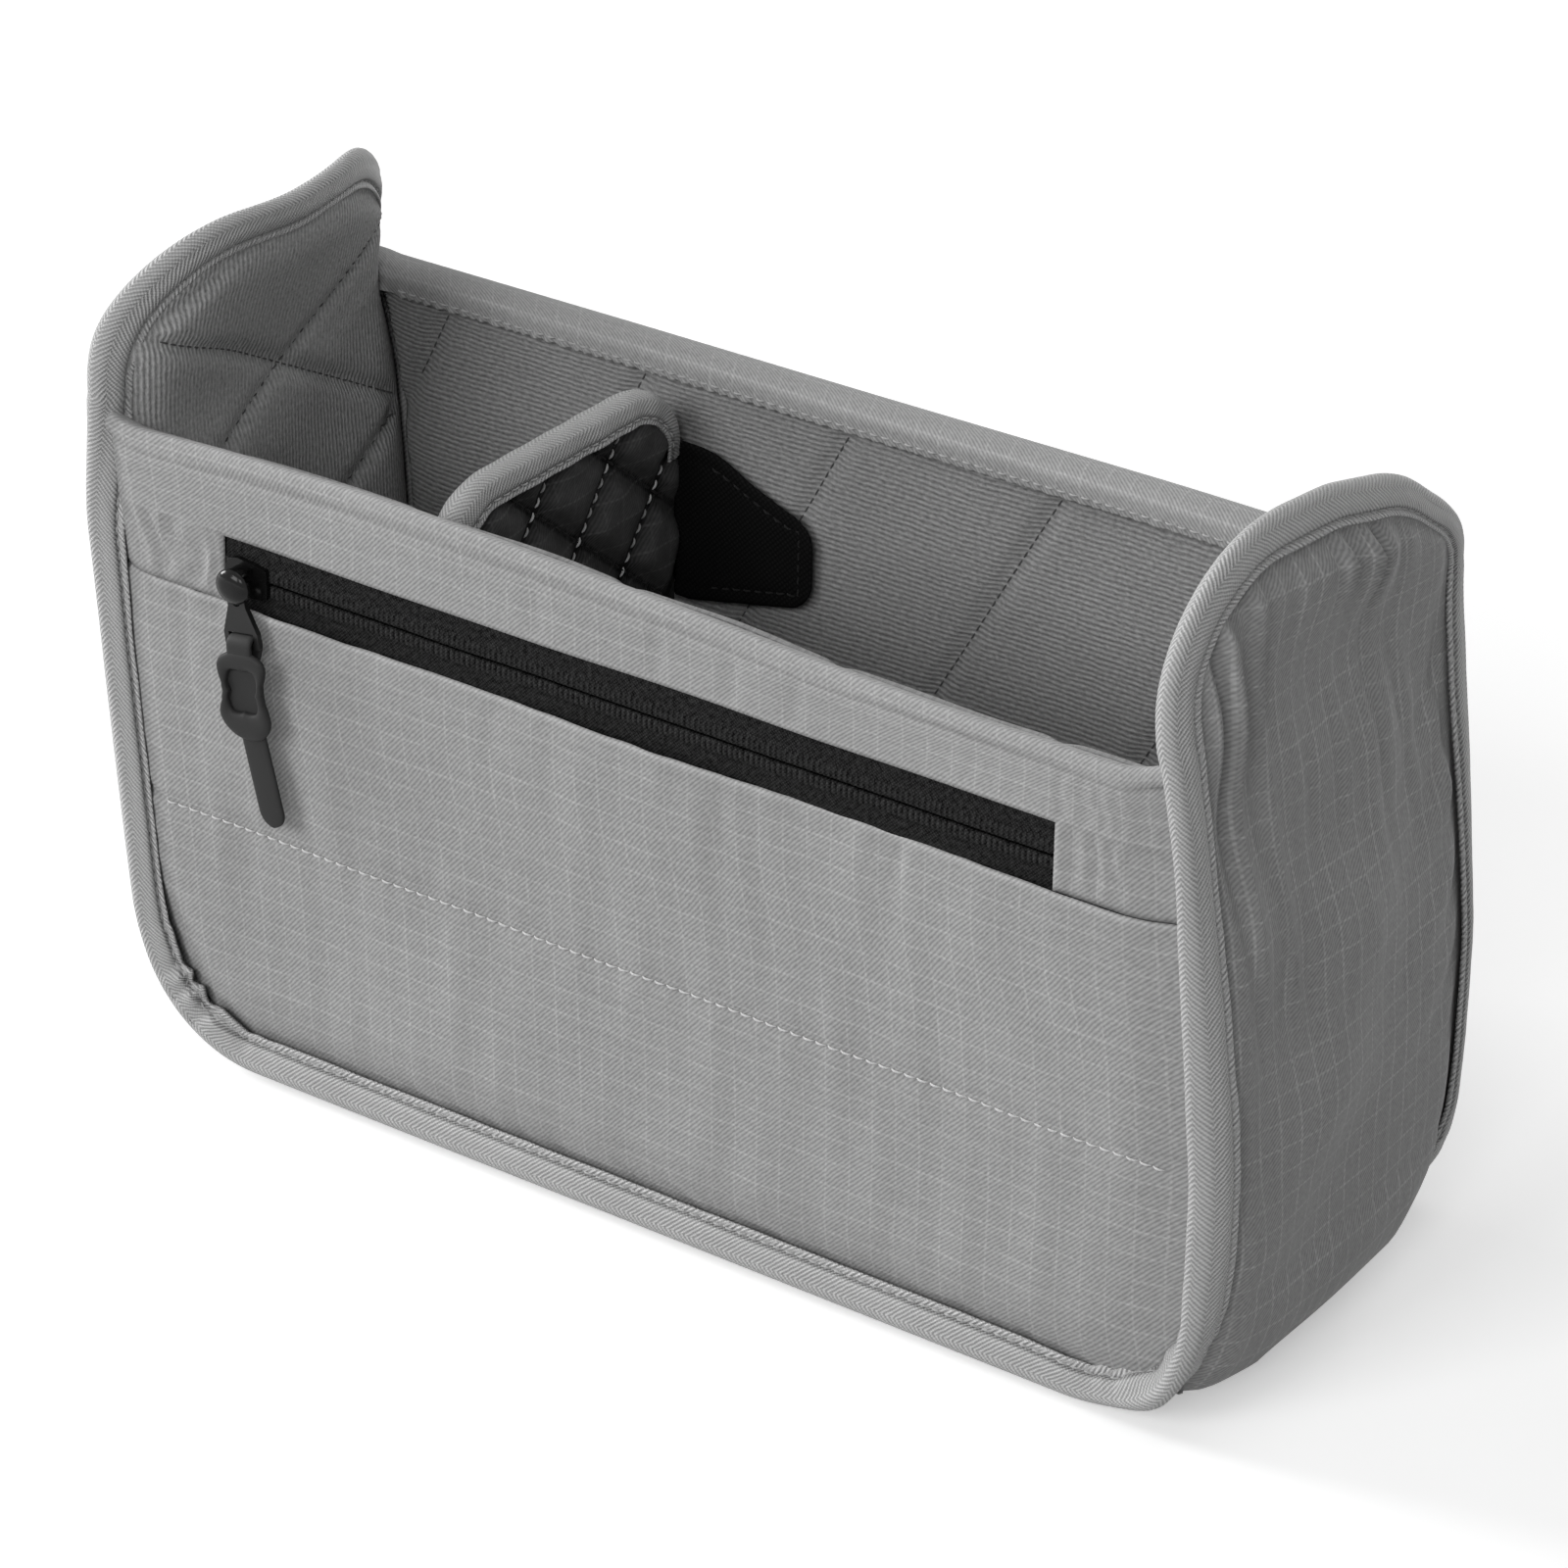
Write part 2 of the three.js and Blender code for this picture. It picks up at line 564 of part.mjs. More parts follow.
// Slider: two plates joined by a neck in the chain's slot, flanges round the coils, and a hooded stud for the link
function zipSlider() {
  const overlap = 0.1;
  const plateBack = zipTapeFront - SEAM_GAP;
  const plateFront = plateBack - SLIDER_PLATE;
  const lowerFront = coilBack + SEAM_GAP;
  const upper = slabFacingY(sliderShape(), plateFront, plateBack, FINE_ARC_STEPS);
  const lower = slabFacingY(sliderShape(), lowerFront, sliderBack, FINE_ARC_STEPS);
  const neckEnd = -SLIDER_LENGTH / 2 + 1;
  const neck = box([neckEnd, plateBack - overlap, -SLIDER_NECK / 2],
    [neckEnd + SLIDER_NECK_LENGTH, lowerFront + overlap, SLIDER_NECK / 2]);
  let slider = solidOf(upper).add(solidOf(lower)).add(solidOf(neck));

  const flangeTop = CHAIN_SLOT / 2 + COIL_WIDTH + SEAM_GAP + SLIDER_FLANGE;
  const flangeFront = zipTapeFront + ZIP_TAPE + SEAM_GAP;
  for (const side of [-1, 1]) {
    const edges = [side * flangeTop, side * (flangeTop - SLIDER_FLANGE)];
    const flange = box([-SLIDER_LENGTH / 6, flangeFront, Math.min(...edges)],
      [SLIDER_LENGTH / 3, lowerFront + overlap, Math.max(...edges)]);
    slider = slider.add(solidOf(flange));
  }

  const hood = [
    new THREE.Vector2(0, hoodFront),
    new THREE.Vector2(HOOD_RADIUS * 0.55, hoodFront + HOOD_HEIGHT * 0.12),
    new THREE.Vector2(HOOD_RADIUS * 0.88, hoodFront + HOOD_HEIGHT * 0.45),
    new THREE.Vector2(HOOD_RADIUS, hoodBack),
    new THREE.Vector2(STUD_RADIUS, hoodBack),
    new THREE.Vector2(STUD_RADIUS, plateFront + overlap),
    new THREE.Vector2(0, plateFront + overlap),
  ];
  slider = slider.add(solidOf(new THREE.LatheGeometry(hood, 3 * ARC_STEPS)));

  const wallStart = (Math.PI - HOOD_WALL_ARC) / 2;
  const wallEnd = (Math.PI + HOOD_WALL_ARC) / 2;
  const wall = new THREE.Shape();
  wall.absarc(0, 0, HOOD_RADIUS - overlap, wallStart, wallEnd, false);
  wall.absarc(0, 0, HOOD_RADIUS - HOOD_WALL, wallEnd, wallStart, true);
  wall.closePath();
  slider = slider.add(solidOf(slabFacingY(wall, hoodBack - overlap, plateFront + overlap)));
  return geometryOf(slider);
}

// Flat link: a long eye that hangs on the stud, and a slot whose lower bar carries the strap
function pullLink() {
  const eye = STUD_RADIUS + SEAM_GAP;
  const head = eye + LINK_EYE_WALL;
  const slotHalf = STRAP_WIDTH / 2 + SEAM_GAP;
  const foot = slotHalf + LINK_ARM;
  const barTop = -LINK_LENGTH + LINK_BAR / 2;
  const barBottom = -LINK_LENGTH - LINK_BAR / 2;
  const slotTop = barTop - LINK_BAR / 2 + LOOP_RADIUS + STRAP + SEAM_GAP;
  const shape = new THREE.Shape();
  shape.absarc(0, 0, head, 0, Math.PI, false);
  shape.lineTo(-head, eye - LINK_EYE_LENGTH);
  shape.lineTo(-foot, slotTop);
  shape.lineTo(-foot, barBottom + LINK_ARM / 2);
  shape.quadraticCurveTo(-foot, barBottom, LINK_ARM / 2 - foot, barBottom);
  shape.lineTo(foot - LINK_ARM / 2, barBottom);
  shape.quadraticCurveTo(foot, barBottom, foot, barBottom + LINK_ARM / 2);
  shape.lineTo(foot, slotTop);
  shape.lineTo(head, eye - LINK_EYE_LENGTH);
  shape.closePath();

  const hole = new THREE.Path();
  hole.absarc(0, 0, eye, 0, Math.PI, false);
  hole.absarc(0, eye * 2 - LINK_EYE_LENGTH, eye, Math.PI, 2 * Math.PI, false);
  hole.closePath();
  const slot = new THREE.Path();
  slot.moveTo(-slotHalf, barTop);
  slot.lineTo(slotHalf, barTop);
  slot.lineTo(slotHalf, slotTop);
  slot.lineTo(-slotHalf, slotTop);
  slot.closePath();
  shape.holes.push(hole, slot);
  return slabFacingY(shape, -LINK_THICKNESS / 2, LINK_THICKNESS / 2);
}

// Rubber pull: a strap looped through the link's slot and tucked behind its own framed head
function pullTab() {
  const half = STRAP_WIDTH / 2;
  const outer = LOOP_RADIUS + STRAP;
  const tuck = HEAD_WINDOW_TOP;
  const overlap = 0.1;
  const tailFront = -LOOP_RADIUS - overlap;

  // Side view of the strap: front leg, turn over the bar, back leg drawn in behind the head
  const loop = new THREE.Shape();
  loop.moveTo(-outer, -HEAD_TOP - LOOP_LEG);
  loop.absarc(0, 0, outer, Math.PI, 0, true);
  loop.lineTo(outer, -LOOP_LEG);
  loop.lineTo(tailFront + STRAP, -tuck - LOOP_LEG);
  loop.lineTo(tailFront, -tuck - LOOP_LEG);
  loop.lineTo(LOOP_RADIUS, -LOOP_LEG);
  loop.absarc(0, 0, LOOP_RADIUS, 0, Math.PI, false);
  loop.lineTo(-LOOP_RADIUS, -HEAD_TOP - LOOP_LEG);
  loop.closePath();
  const strap = slabFacingX(loop, -half, half);

  const tail = new THREE.Shape();
  tail.moveTo(-half, -tuck);
  tail.absarc(0, half - PULL_LENGTH, half, Math.PI, 2 * Math.PI, false);
  tail.lineTo(half, -tuck);
  tail.closePath();
  const tailSlab = slabFacingY(tail, tailFront, tailFront + STRAP);

  const broad = HEAD_WIDTH / 2;
  const waist = HEAD_WAIST / 2;
  const middle = -(HEAD_SHOULDER + HEAD_HIP) / 2;
  const head = new THREE.Shape();
  head.moveTo(-half, -HEAD_TOP);
  head.lineTo(-broad, -HEAD_SHOULDER);
  head.quadraticCurveTo(-waist, middle, -broad, -HEAD_HIP);
  head.quadraticCurveTo(-broad, -HEAD_FOOT, -half, -HEAD_FOOT);
  head.lineTo(half, -HEAD_FOOT);
  head.quadraticCurveTo(broad, -HEAD_FOOT, broad, -HEAD_HIP);
  head.quadraticCurveTo(waist, middle, broad, -HEAD_SHOULDER);
  head.lineTo(half, -HEAD_TOP);
  head.closePath();
  const window = new THREE.Path();
  const windowHalf = HEAD_WINDOW_WIDTH / 2;
  window.moveTo(-windowHalf, -HEAD_WINDOW_TOP);
  window.lineTo(windowHalf, -HEAD_WINDOW_TOP);
  window.lineTo(windowHalf, -HEAD_WINDOW_FOOT);
  window.lineTo(-windowHalf, -HEAD_WINDOW_FOOT);
  window.closePath();
  head.holes.push(window);
  const frame = slabFacingY(head, -outer, -LOOP_RADIUS);
  return geometryOf(solidOf(strap).add(solidOf(tailSlab)).add(solidOf(frame)));
}

// Divider outline in Y and Z: close to the lining, rounded at the top and eased at the foot
function dividerShape(inset, bottom) {
  const front = frontInside + DIVIDER_FIT + inset;
  const back = backInside - DIVIDER_FIT - inset;
  const top = DIVIDER_TOP - inset;
  const radius = DIVIDER_CORNER_RADIUS - inset;
  const foot = DIVIDER_FOOT_RADIUS;
  const shape = new THREE.Shape();
  shape.moveTo(front + foot, bottom);
  shape.lineTo(back - foot, bottom);
  shape.absarc(back - foot, bottom + foot, foot, 1.5 * Math.PI, 2 * Math.PI, false);
  shape.absarc(back - radius, top - radius, radius, 0, Math.PI / 2, false);
  shape.absarc(front + radius, top - radius, radius, Math.PI / 2, Math.PI, false);
  shape.absarc(front + foot, bottom + foot, foot, Math.PI, 1.5 * Math.PI, false);
  shape.closePath();
  return shape;
}

// The divider's pad and faces end inside the bound rim
const rimInset = RIM_TAPE + SEAM_GAP;
const dividerFoot = baseInside + DIVIDER_FIT;

function dividerPad() {
  const half = DIVIDER_FOAM / 2;
  return slabFacingX(dividerShape(rimInset, dividerFoot), DIVIDER_X - half, DIVIDER_X + half);
}

// Quilted face: sewn grooves cross in diamonds; side is +1 on the right face and -1 on the left
function dividerFace(side) {
  const near = DIVIDER_X + side * (DIVIDER_FOAM / 2 + SEAM_GAP);
  const far = near + side * DIVIDER_FACE;
  const sheet = slabFacingX(dividerShape(rimInset, dividerFoot), Math.min(near, far), Math.max(near, far));
  const groove = new THREE.Shape();
  groove.moveTo(-QUILT_GROOVE_WIDTH / 2, 0);
  groove.lineTo(QUILT_GROOVE_WIDTH / 2, 0);
  groove.lineTo(0, -QUILT_GROOVE_DEPTH);
  groove.closePath();
  const length = 2 * (DIVIDER_TOP + SHELL_DEPTH);
  const middle = (DIVIDER_TOP + dividerFoot) / 2;
  const lines = Math.ceil((DIVIDER_TOP + SHELL_DEPTH) / 2 / QUILT_PITCH);
  let face = solidOf(sheet);
  for (const slope of [-1, 1]) {
    for (let line = -lines; line <= lines; line += 1) {
      const cut = extrude(groove, length).translate(line * QUILT_PITCH, 0, -length / 2);
      cut.rotateX(Math.PI / 2).rotateZ(-side * Math.PI / 2).rotateX(slope * Math.PI / 4);
      cut.rotateX(side > 0 ? 0 : Math.PI);
      face = face.subtract(solidOf(cut.translate(far, 0, middle)));
    }
  }
  return geometryOf(face);
}

// Tape folded over the divider's top edge and its rounded corners
function dividerRim() {
  const half = dividerHalf + SEAM_GAP + RIM_TAPE;
  const slot = dividerHalf + SEAM_GAP;
  const whole = slabFacingX(dividerShape(0, dividerFoot), DIVIDER_X - half, DIVIDER_X + half);
  const held = slabFacingX(dividerShape(RIM_TAPE, dividerFoot), DIVIDER_X - slot, DIVIDER_X + slot);
  const open = slabFacingX(dividerShape(RIM_DEPTH, dividerFoot), DIVIDER_X - 2 * half, DIVIDER_X + 2 * half);
  const below = box([DIVIDER_X - 2 * half, -SHELL_DEPTH, 0], [DIVIDER_X + 2 * half, SHELL_DEPTH, RIM_END]);
  return geometryOf(solidOf(whole).subtract(solidOf(held)).subtract(solidOf(open)).subtract(solidOf(below)));
}

// Flap outline in X and Z, tapering from the divider to a rounded tip
function flapShape(inset) {
  const root = flapRoot + inset;
  const tip = flapRoot + FLAP_LENGTH - inset;
  const radius = Math.max(FLAP_CORNER_RADIUS - inset, 1);
  const shape = new THREE.Shape();
  shape.moveTo(root, FLAP_ROOT_LOW + inset);
  shape.lineTo(tip - radius, FLAP_TIP_LOW + inset);
  shape.quadraticCurveTo(tip, FLAP_TIP_LOW + inset, tip, FLAP_TIP_LOW + inset + radius);
  shape.lineTo(tip, FLAP_TIP_HIGH - inset - radius);
  shape.quadraticCurveTo(tip, FLAP_TIP_HIGH - inset, tip - radius, FLAP_TIP_HIGH - inset);
  shape.lineTo(root, FLAP_ROOT_HIGH - inset);
  shape.closePath();
  return shape;
}

// Middle of a flap's web, off the lining it clings to; side is +1 at the back and -1 at the front
function flapPlane(side) {
  return side > 0 ? backInside - flapReach : frontInside + flapReach;
}

function flapWeb(side) {
  const plane = flapPlane(side);
  return slabFacingY(flapShape(0), plane - FLAP_WEB / 2, plane + FLAP_WEB / 2, FINE_ARC_STEPS);
}

function flapHook(side) {
  const near = flapPlane(side) + side * (FLAP_WEB / 2 + SEAM_GAP);
  const far = near + side * FLAP_HOOK;
  return slabFacingY(flapShape(FLAP_HOOK_INSET), Math.min(near, far), Math.max(near, far), FINE_ARC_STEPS);
}

// Colours and finishes
const ripstop = { color: 0x9b9c9e, roughness: 0.75, metalness: 0 };
const bindingTape = { color: 0xb4b5b6, roughness: 0.85, metalness: 0 };
const foam = { color: 0x55565a, roughness: 0.95, metalness: 0 };
const loopKnit = { color: 0x4c4d50, roughness: 0.95, metalness: 0 };
const blackCloth = { color: 0x1c1c1e, roughness: 0.7, metalness: 0 };
const hookTape = { color: 0x0c0c0d, roughness: 0.9, metalness: 0 };
const zipBlack = { color: 0x1a1a1b, roughness: 0.6, metalness: 0 };
const enamel = { color: 0x141415, roughness: 0.25, metalness: 0.6 };
const rubber = { color: 0x2f3032, roughness: 0.6, metalness: 0 };

// The bag's own frame runs front to back about its shell; the part's origin is under the middle of all of it
const bag = new THREE.Group();
bag.position.y = (-pullFront - noseReach) / 2;

function add(parent, name, geometry, finish) {
  const mesh = new THREE.Mesh(geometry, new THREE.MeshStandardMaterial(finish));
  mesh.name = name;
  parent.add(mesh);
}

add(bag, 'gusset_shell', gussetShell(), ripstop);
add(bag, 'gusset_foam', gussetPad(foamHalf, baseFoam, WALL_FOAM), foam);
add(bag, 'gusset_lining', gussetPad(liningHalf, baseLining, LINING), loopKnit);
add(bag, 'edge_binding', edgeBinding(), bindingTape);

const pocketTop = POCKET_SEAM_HEIGHT - SEAM_GAP;
add(bag, 'front_pocket_panel', panelLayer(frontCloth, frontCloth + CLOTH, pocketTop), ripstop);
add(bag, 'front_top_panel', frontTopPanel(), ripstop);
add(bag, 'pocket_liner', pocketLiner(), blackCloth);
add(bag, 'front_foam', frontPad(), foam);
add(bag, 'front_lining', panelLayer(frontLining, frontInside, padTop), loopKnit);

add(bag, 'back_panel', backPanel(), ripstop);
add(bag, 'back_foam', panelLayer(backFoam - WALL_FOAM, backFoam, padTop), foam);
add(bag, 'back_lining', panelLayer(backInside, backLining, padTop), loopKnit);

add(bag, 'zip_tape_upper', zipTape(1), zipBlack);
add(bag, 'zip_tape_lower', zipTape(-1), zipBlack);
add(bag, 'zip_coil_upper', zipCoil(1), zipBlack);
add(bag, 'zip_coil_lower', zipCoil(-1), zipBlack);

const slider = new THREE.Group();
slider.position.set(sliderRest, 0, zipCentre);
bag.add(slider);
add(slider, 'zip_slider', zipSlider(), enamel);
const link = new THREE.Group();
link.position.y = pullPlane;
link.rotation.y = -THREE.MathUtils.degToRad(PULL_LEAN);
slider.add(link);
add(link, 'pull_link', pullLink(), enamel);
const tab = new THREE.Group();
tab.position.z = -LINK_LENGTH;
link.add(tab);
add(tab, 'pull_tab', pullTab(), rubber);

add(bag, 'divider_foam', dividerPad(), foam);
add(bag, 'divider_face_left', dividerFace(-1), blackCloth);
add(bag, 'divider_face_right', dividerFace(1), blackCloth);
add(bag, 'divider_binding', dividerRim(), bindingTape);
for (const [name, side] of [['back', 1], ['front', -1]]) {
  add(bag, `flap_${name}`, flapWeb(side), blackCloth);
  add(bag, `flap_${name}_hook`, flapHook(side), hookTape);
}

const insert = new THREE.Group();
insert.add(bag);

export default insert;
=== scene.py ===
import math

import bmesh
import bpy
import numpy as np
from mathutils import Matrix, Vector


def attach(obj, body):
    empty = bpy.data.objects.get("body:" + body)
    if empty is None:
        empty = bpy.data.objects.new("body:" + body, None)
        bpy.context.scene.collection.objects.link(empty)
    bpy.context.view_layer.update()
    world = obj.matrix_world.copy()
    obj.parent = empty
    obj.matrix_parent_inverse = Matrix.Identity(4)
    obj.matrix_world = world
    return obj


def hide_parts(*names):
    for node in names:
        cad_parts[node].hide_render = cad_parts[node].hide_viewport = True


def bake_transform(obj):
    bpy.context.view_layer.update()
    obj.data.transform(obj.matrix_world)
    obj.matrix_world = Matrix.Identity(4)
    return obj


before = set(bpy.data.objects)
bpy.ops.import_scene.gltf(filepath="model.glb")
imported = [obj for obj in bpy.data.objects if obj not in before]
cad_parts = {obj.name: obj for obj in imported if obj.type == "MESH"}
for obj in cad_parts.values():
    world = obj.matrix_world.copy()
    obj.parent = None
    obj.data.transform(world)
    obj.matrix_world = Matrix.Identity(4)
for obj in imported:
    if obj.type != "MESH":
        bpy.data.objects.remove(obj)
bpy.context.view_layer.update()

MM = 0.001
SCENE = bpy.context.scene
WHITE = (1, 1, 1, 1)

# Lengths of the bag, in millimetres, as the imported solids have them.
FRONT = -50.35
BACK = 55.65
MIDDLE = (FRONT + BACK) / 2
WALL_X = 133.0
WALL_THICKNESS = 8.9
WALL_STRAIGHT = 110.0
BASE_Z = 1.3
BASE_RADIUS = 28.0
ARCH_TOP = 184.7
ARCH_RADIUS = 32.7
PANEL_HALF = 130.5
PANEL_FOOT = 3.8
PANEL_RADIUS = 25.5
PANEL_TOP = 148.0
FOLD_HEIGHT = 4.5
FOLD_FOOT = PANEL_TOP - FOLD_HEIGHT
SEAM_Z = 112.5
ZIP_HALF = 102.0
ZIP_TOP = 127.3
ZIP_MID = 119.9
COIL_PITCH = 1.3
POCKET_STITCH_Z = 60.5

# Each folded panel: the way in, its face, the depth of its fold and the foot of its facing.
FRONT_SIDE = (1.0, FRONT, 8.4, 137.0)
BACK_SIDE = (-1.0, BACK, 10.8, 141.6)

# The divider's quilt lines: angle, pitch and first line.
PALE_LINES = (math.radians(54.5), 20.0, 0.0)
DARK_LINES = (math.radians(-39.0), 18.0, 6.8)

# Rows of stitches: pitch, length, thread radius and height off the cloth, in millimetres.
LINING_STITCH = (2.6, 2.4, 0.2, 0.04)
POCKET_STITCH = (3.05, 2.6, 0.23, 0.45)
FACING_STITCH = (2.9, 2.3, 0.24, 0.1)
EDGE_STITCH = (3.0, 2.3, 0.24, 0.2)
QUILT_STITCH = (3.3, 2.5, 0.27, 0.16)
RIM_STITCH = (3.0, 2.2, 0.22, 0.2)
FLAP_STITCH = (2.9, 2.2, 0.22, 0.12)

# Thickness of each cloth, in millimetres.
WALL_CLOTH = 0.8
PANEL_CLOTH = 0.7
LINING_CLOTH = 1.2
ZIP_CLOTH = 0.5
POCKET_CLOTH = 0.4
QUILT_CLOTH = 0.6
FLAP_CLOTH = 1.3
HOOK_CLOTH = 0.4


# Small numeric helpers

def within(x):
    """Holds a value between 0 and 1."""
    return np.clip(x, 0.0, 1.0)


def smooth(low, high, x):
    """Goes smoothly from 0 at low to 1 at high."""
    t = within((x - low) / (high - low))
    return t * t * (3 - 2 * t)


def bell(x, width):
    return np.exp(-((x / width) ** 2))


def swing(x, period, phase=0.0):
    """A sine wave along x."""
    return np.sin(2 * math.pi * x / period + phase)


def join(*parts):
    """Points from their coordinates, each an array or one number."""
    return np.stack(np.broadcast_arrays(*parts), -1)


def cells(a, b):
    return np.meshgrid(a, b, indexing="ij")


def unit(v):
    return v / np.maximum(np.linalg.norm(v, axis=-1, keepdims=True), 1e-9)


def lengths(path):
    """Length along a path up to each of its points."""
    step = np.linalg.norm(np.diff(path, axis=0), axis=1)
    return np.concatenate([[0], np.cumsum(step)])


def resample(s, along, rows):
    """Rows at other places along a path."""
    return join(*(np.interp(s, along, column) for column in rows.T))


def spread(low, high, step, extra=()):
    """Columns about a step apart that also fall on given places."""
    marks = sorted({low, high, *extra})
    parts = []
    for a, b in zip(marks, marks[1:]):
        parts.append(np.linspace(a, b, max(2, int(math.ceil((b - a) / step)) + 1))[:-1])
    return np.concatenate(parts + [[high]])


def curve(stations, values, window=14.0):
    """A smooth function through a few stations."""
    fine = np.linspace(stations[0] - 3 * window, stations[-1] + 3 * window, 600)
    raw = np.interp(fine, stations, values)
    kernel = np.hanning(max(3, int(window / (fine[1] - fine[0]))) + 2)
    kernel /= kernel.sum()
    pad = len(kernel)
    padded = np.pad(raw, pad, mode="edge")
    soft_values = np.convolve(padded, kernel, mode="same")[pad:-pad]
    return lambda x: np.interp(x, fine, soft_values)


def ripple(u, v, seed, wavelength, stretch=1.0, waves=14):
    """Smooth random relief of about unit size."""
    rng = np.random.default_rng(seed)
    total = np.zeros(np.broadcast(u, v).shape)
    for _ in range(waves):
        angle = rng.uniform(0, 2 * math.pi)
        k = 2 * math.pi / (wavelength * rng.uniform(0.7, 1.5))
        across = u * math.cos(angle) + v * math.sin(angle) * stretch
        total += np.sin(k * across + rng.uniform(0, 2 * math.pi))
    return total / math.sqrt(waves / 2)


# How the padded walls lean, bow and bulge

LEFT_FRONT = curve([0, 25, 40, 60, 85, 120, 150, 165, 186], [8, 8, 6.5, 4.5, 2, -1.5, -6, -7, -5])
LEFT_BACK = curve([0, 40, 100, 145, 186], [4, 3, -5, -13, -13.5])
LEFT_BOW = curve([0, 100, 140, 165, 186], [0, 0, 2.5, 10, 16])
RIGHT_FRONT = curve([0, 20, 40, 60, 85, 114, 146, 162, 186], [5, 5.5, 6.5, 6.5, 4, 1, -1.8, -5, -7])
RIGHT_BACK = curve([0, 34, 69, 101, 123, 143, 153, 186], [2, 2.7, 2.8, 0.4, -1.6, -2.4, -2.2, -1.5])
RIGHT_BOW = curve([0, 110, 150, 186], [0, 0, 0.5, 1])
FRONT_EDGE = curve(
    [-130, -100, -60, -20, 20, 50, 80, 130], [-3.2, -1.2, -0.2, -1.0, -2.4, -3.8, -4.6, -4.0], 30.0)
BACK_EDGE = curve([-140, -60, 0, 70, 130], [-2.0, -1.0, -0.5, 0.4, 0.0], 40.0)
RIGHT_DROOP = curve([-60, -10, 5, 25, 40, 52], [0.0, 0.4, 1.5, 6.5, 10.0, 9.5], 10.0)
LEFT_DROOP = curve([-60, -30, 0, 30, 44, 54], [1.0, 2.0, 4.0, 4.0, 6.0, 8.5], 14.0)
BELLY = 6.5
LEFT_CURL = 6.0
CORNER_FILL = 2.6
CORNER_X, CORNER_Z, CORNER_REACH = 121.0, 9.0, 16.0
LEAN_HALF = 131.0


def soft(p):
    """Moves points of the stiff outline to where the padded bag has settled."""
    x, y, z = p[..., 0], p[..., 1], p[..., 2]
    aside = np.abs(x)
    t = within((y - FRONT) / (BACK - FRONT))
    arc = 4 * t * (1 - t)
    belly = BELLY * smooth(4, 48, z) * (1 - smooth(70, 150, z)) * np.sqrt(arc)
    left = LEFT_FRONT(z) * (1 - t) + LEFT_BACK(z) * t + arc * LEFT_BOW(z)
    left = left - belly * smooth(-112, -128, x) - LEFT_CURL * smooth(42, 56, y) * smooth(118, 150, z)
    right = RIGHT_FRONT(z) * (1 - t) + RIGHT_BACK(z) * t + arc * RIGHT_BOW(z)
    right = right + belly * smooth(112, 128, x)
    u = within((x + LEAN_HALF) / (2 * LEAN_HALF))
    shift = left * (1 - u) + right * u
    held = (1 - smooth(104, 128, aside)) * (1 - smooth(14, 44, np.abs(z - ZIP_MID)))
    held = held * (1 - smooth(-44, -25, y))
    edge = FRONT_EDGE(x) * (1 - smooth(-38, -10, y)) + BACK_EDGE(x) * smooth(10, 38, y)
    rise = smooth(128, 148, z) * (1 - smooth(118, 136, aside)) * edge
    droop = np.where(x > 0, RIGHT_DROOP(y), LEFT_DROOP(y))
    droop = droop * smooth(146, 180, z) * smooth(100, 118, aside)
    fill = CORNER_FILL * bell(np.hypot(x - CORNER_X, z - CORNER_Z), CORNER_REACH)
    height = np.maximum(z + rise - droop - fill * smooth(0.5, 9, z), 0.0)
    return join(x + shift * (1 - held) + fill, y, height)


# Meshes

def make(name, points, faces, corner_uv, skin, body="bag"):
    used, faces = np.unique(np.asarray(faces).ravel(), return_inverse=True)
    faces = faces.reshape(-1, 4)
    mesh = bpy.data.meshes.new(name)
    mesh.from_pydata((points[used] * MM).tolist(), [], faces.tolist())
    if corner_uv is not None:
        layer = mesh.uv_layers.new(name="cloth")
        layer.data.foreach_set("uv", np.asarray(corner_uv, np.float32).ravel())
    mesh.polygons.foreach_set("use_smooth", np.ones(len(mesh.polygons), bool))
    mesh.materials.append(skin)
    mesh.update()
    piece = bpy.data.objects.new(name, mesh)
    SCENE.collection.objects.link(piece)
    if body:
        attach(piece, body)
    return piece


def grid(name, points, cloth, skin, body="bag", wrap=False, across=False, keep=None, out=None):
    """A quad sheet from rows of points, its first rows facing out.

    wrap closes the rows, across closes the columns, and keep says which quads are made.
    """
    n, m = points.shape[:2]
    if cloth is None:
        cloth = np.zeros((n + 1, m + 1, 2))
    i, j = cells(np.arange(n if wrap else n - 1), np.arange(m if across else m - 1))
    if keep is not None:
        i, j = i[keep], j[keep]
    i, j = i.ravel(), j.ravel()
    k, l = (i + 1) % n, (j + 1) % m
    faces = np.stack([i * m + j, k * m + j, k * m + l, i * m + l], 1)
    uv = np.stack([cloth[i, j], cloth[i + 1, j], cloth[i + 1, j + 1], cloth[i, j + 1]], 1)
    flat = points.reshape(-1, 3)
    if out is not None:
        some = flat[faces[: 4 * m]]
        looks = np.cross(some[:, 2] - some[:, 0], some[:, 3] - some[:, 1]) @ np.asarray(out, float)
        if looks.sum() < 0:
            faces, uv = faces[:, ::-1], uv[:, ::-1]
    return make(name, flat, faces, uv.reshape(-1, 2), skin, body)


def dress(piece, nodes, thickness=0.0):
    """Hides the solids a piece stands for, and thickens a sheet behind the side that shows."""
    if thickness:
        layer = piece.modifiers.new("Thickness", "SOLIDIFY")
        layer.thickness = thickness * MM
        layer.offset = -1.0
        layer.use_even_offset = False
    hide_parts(*nodes)


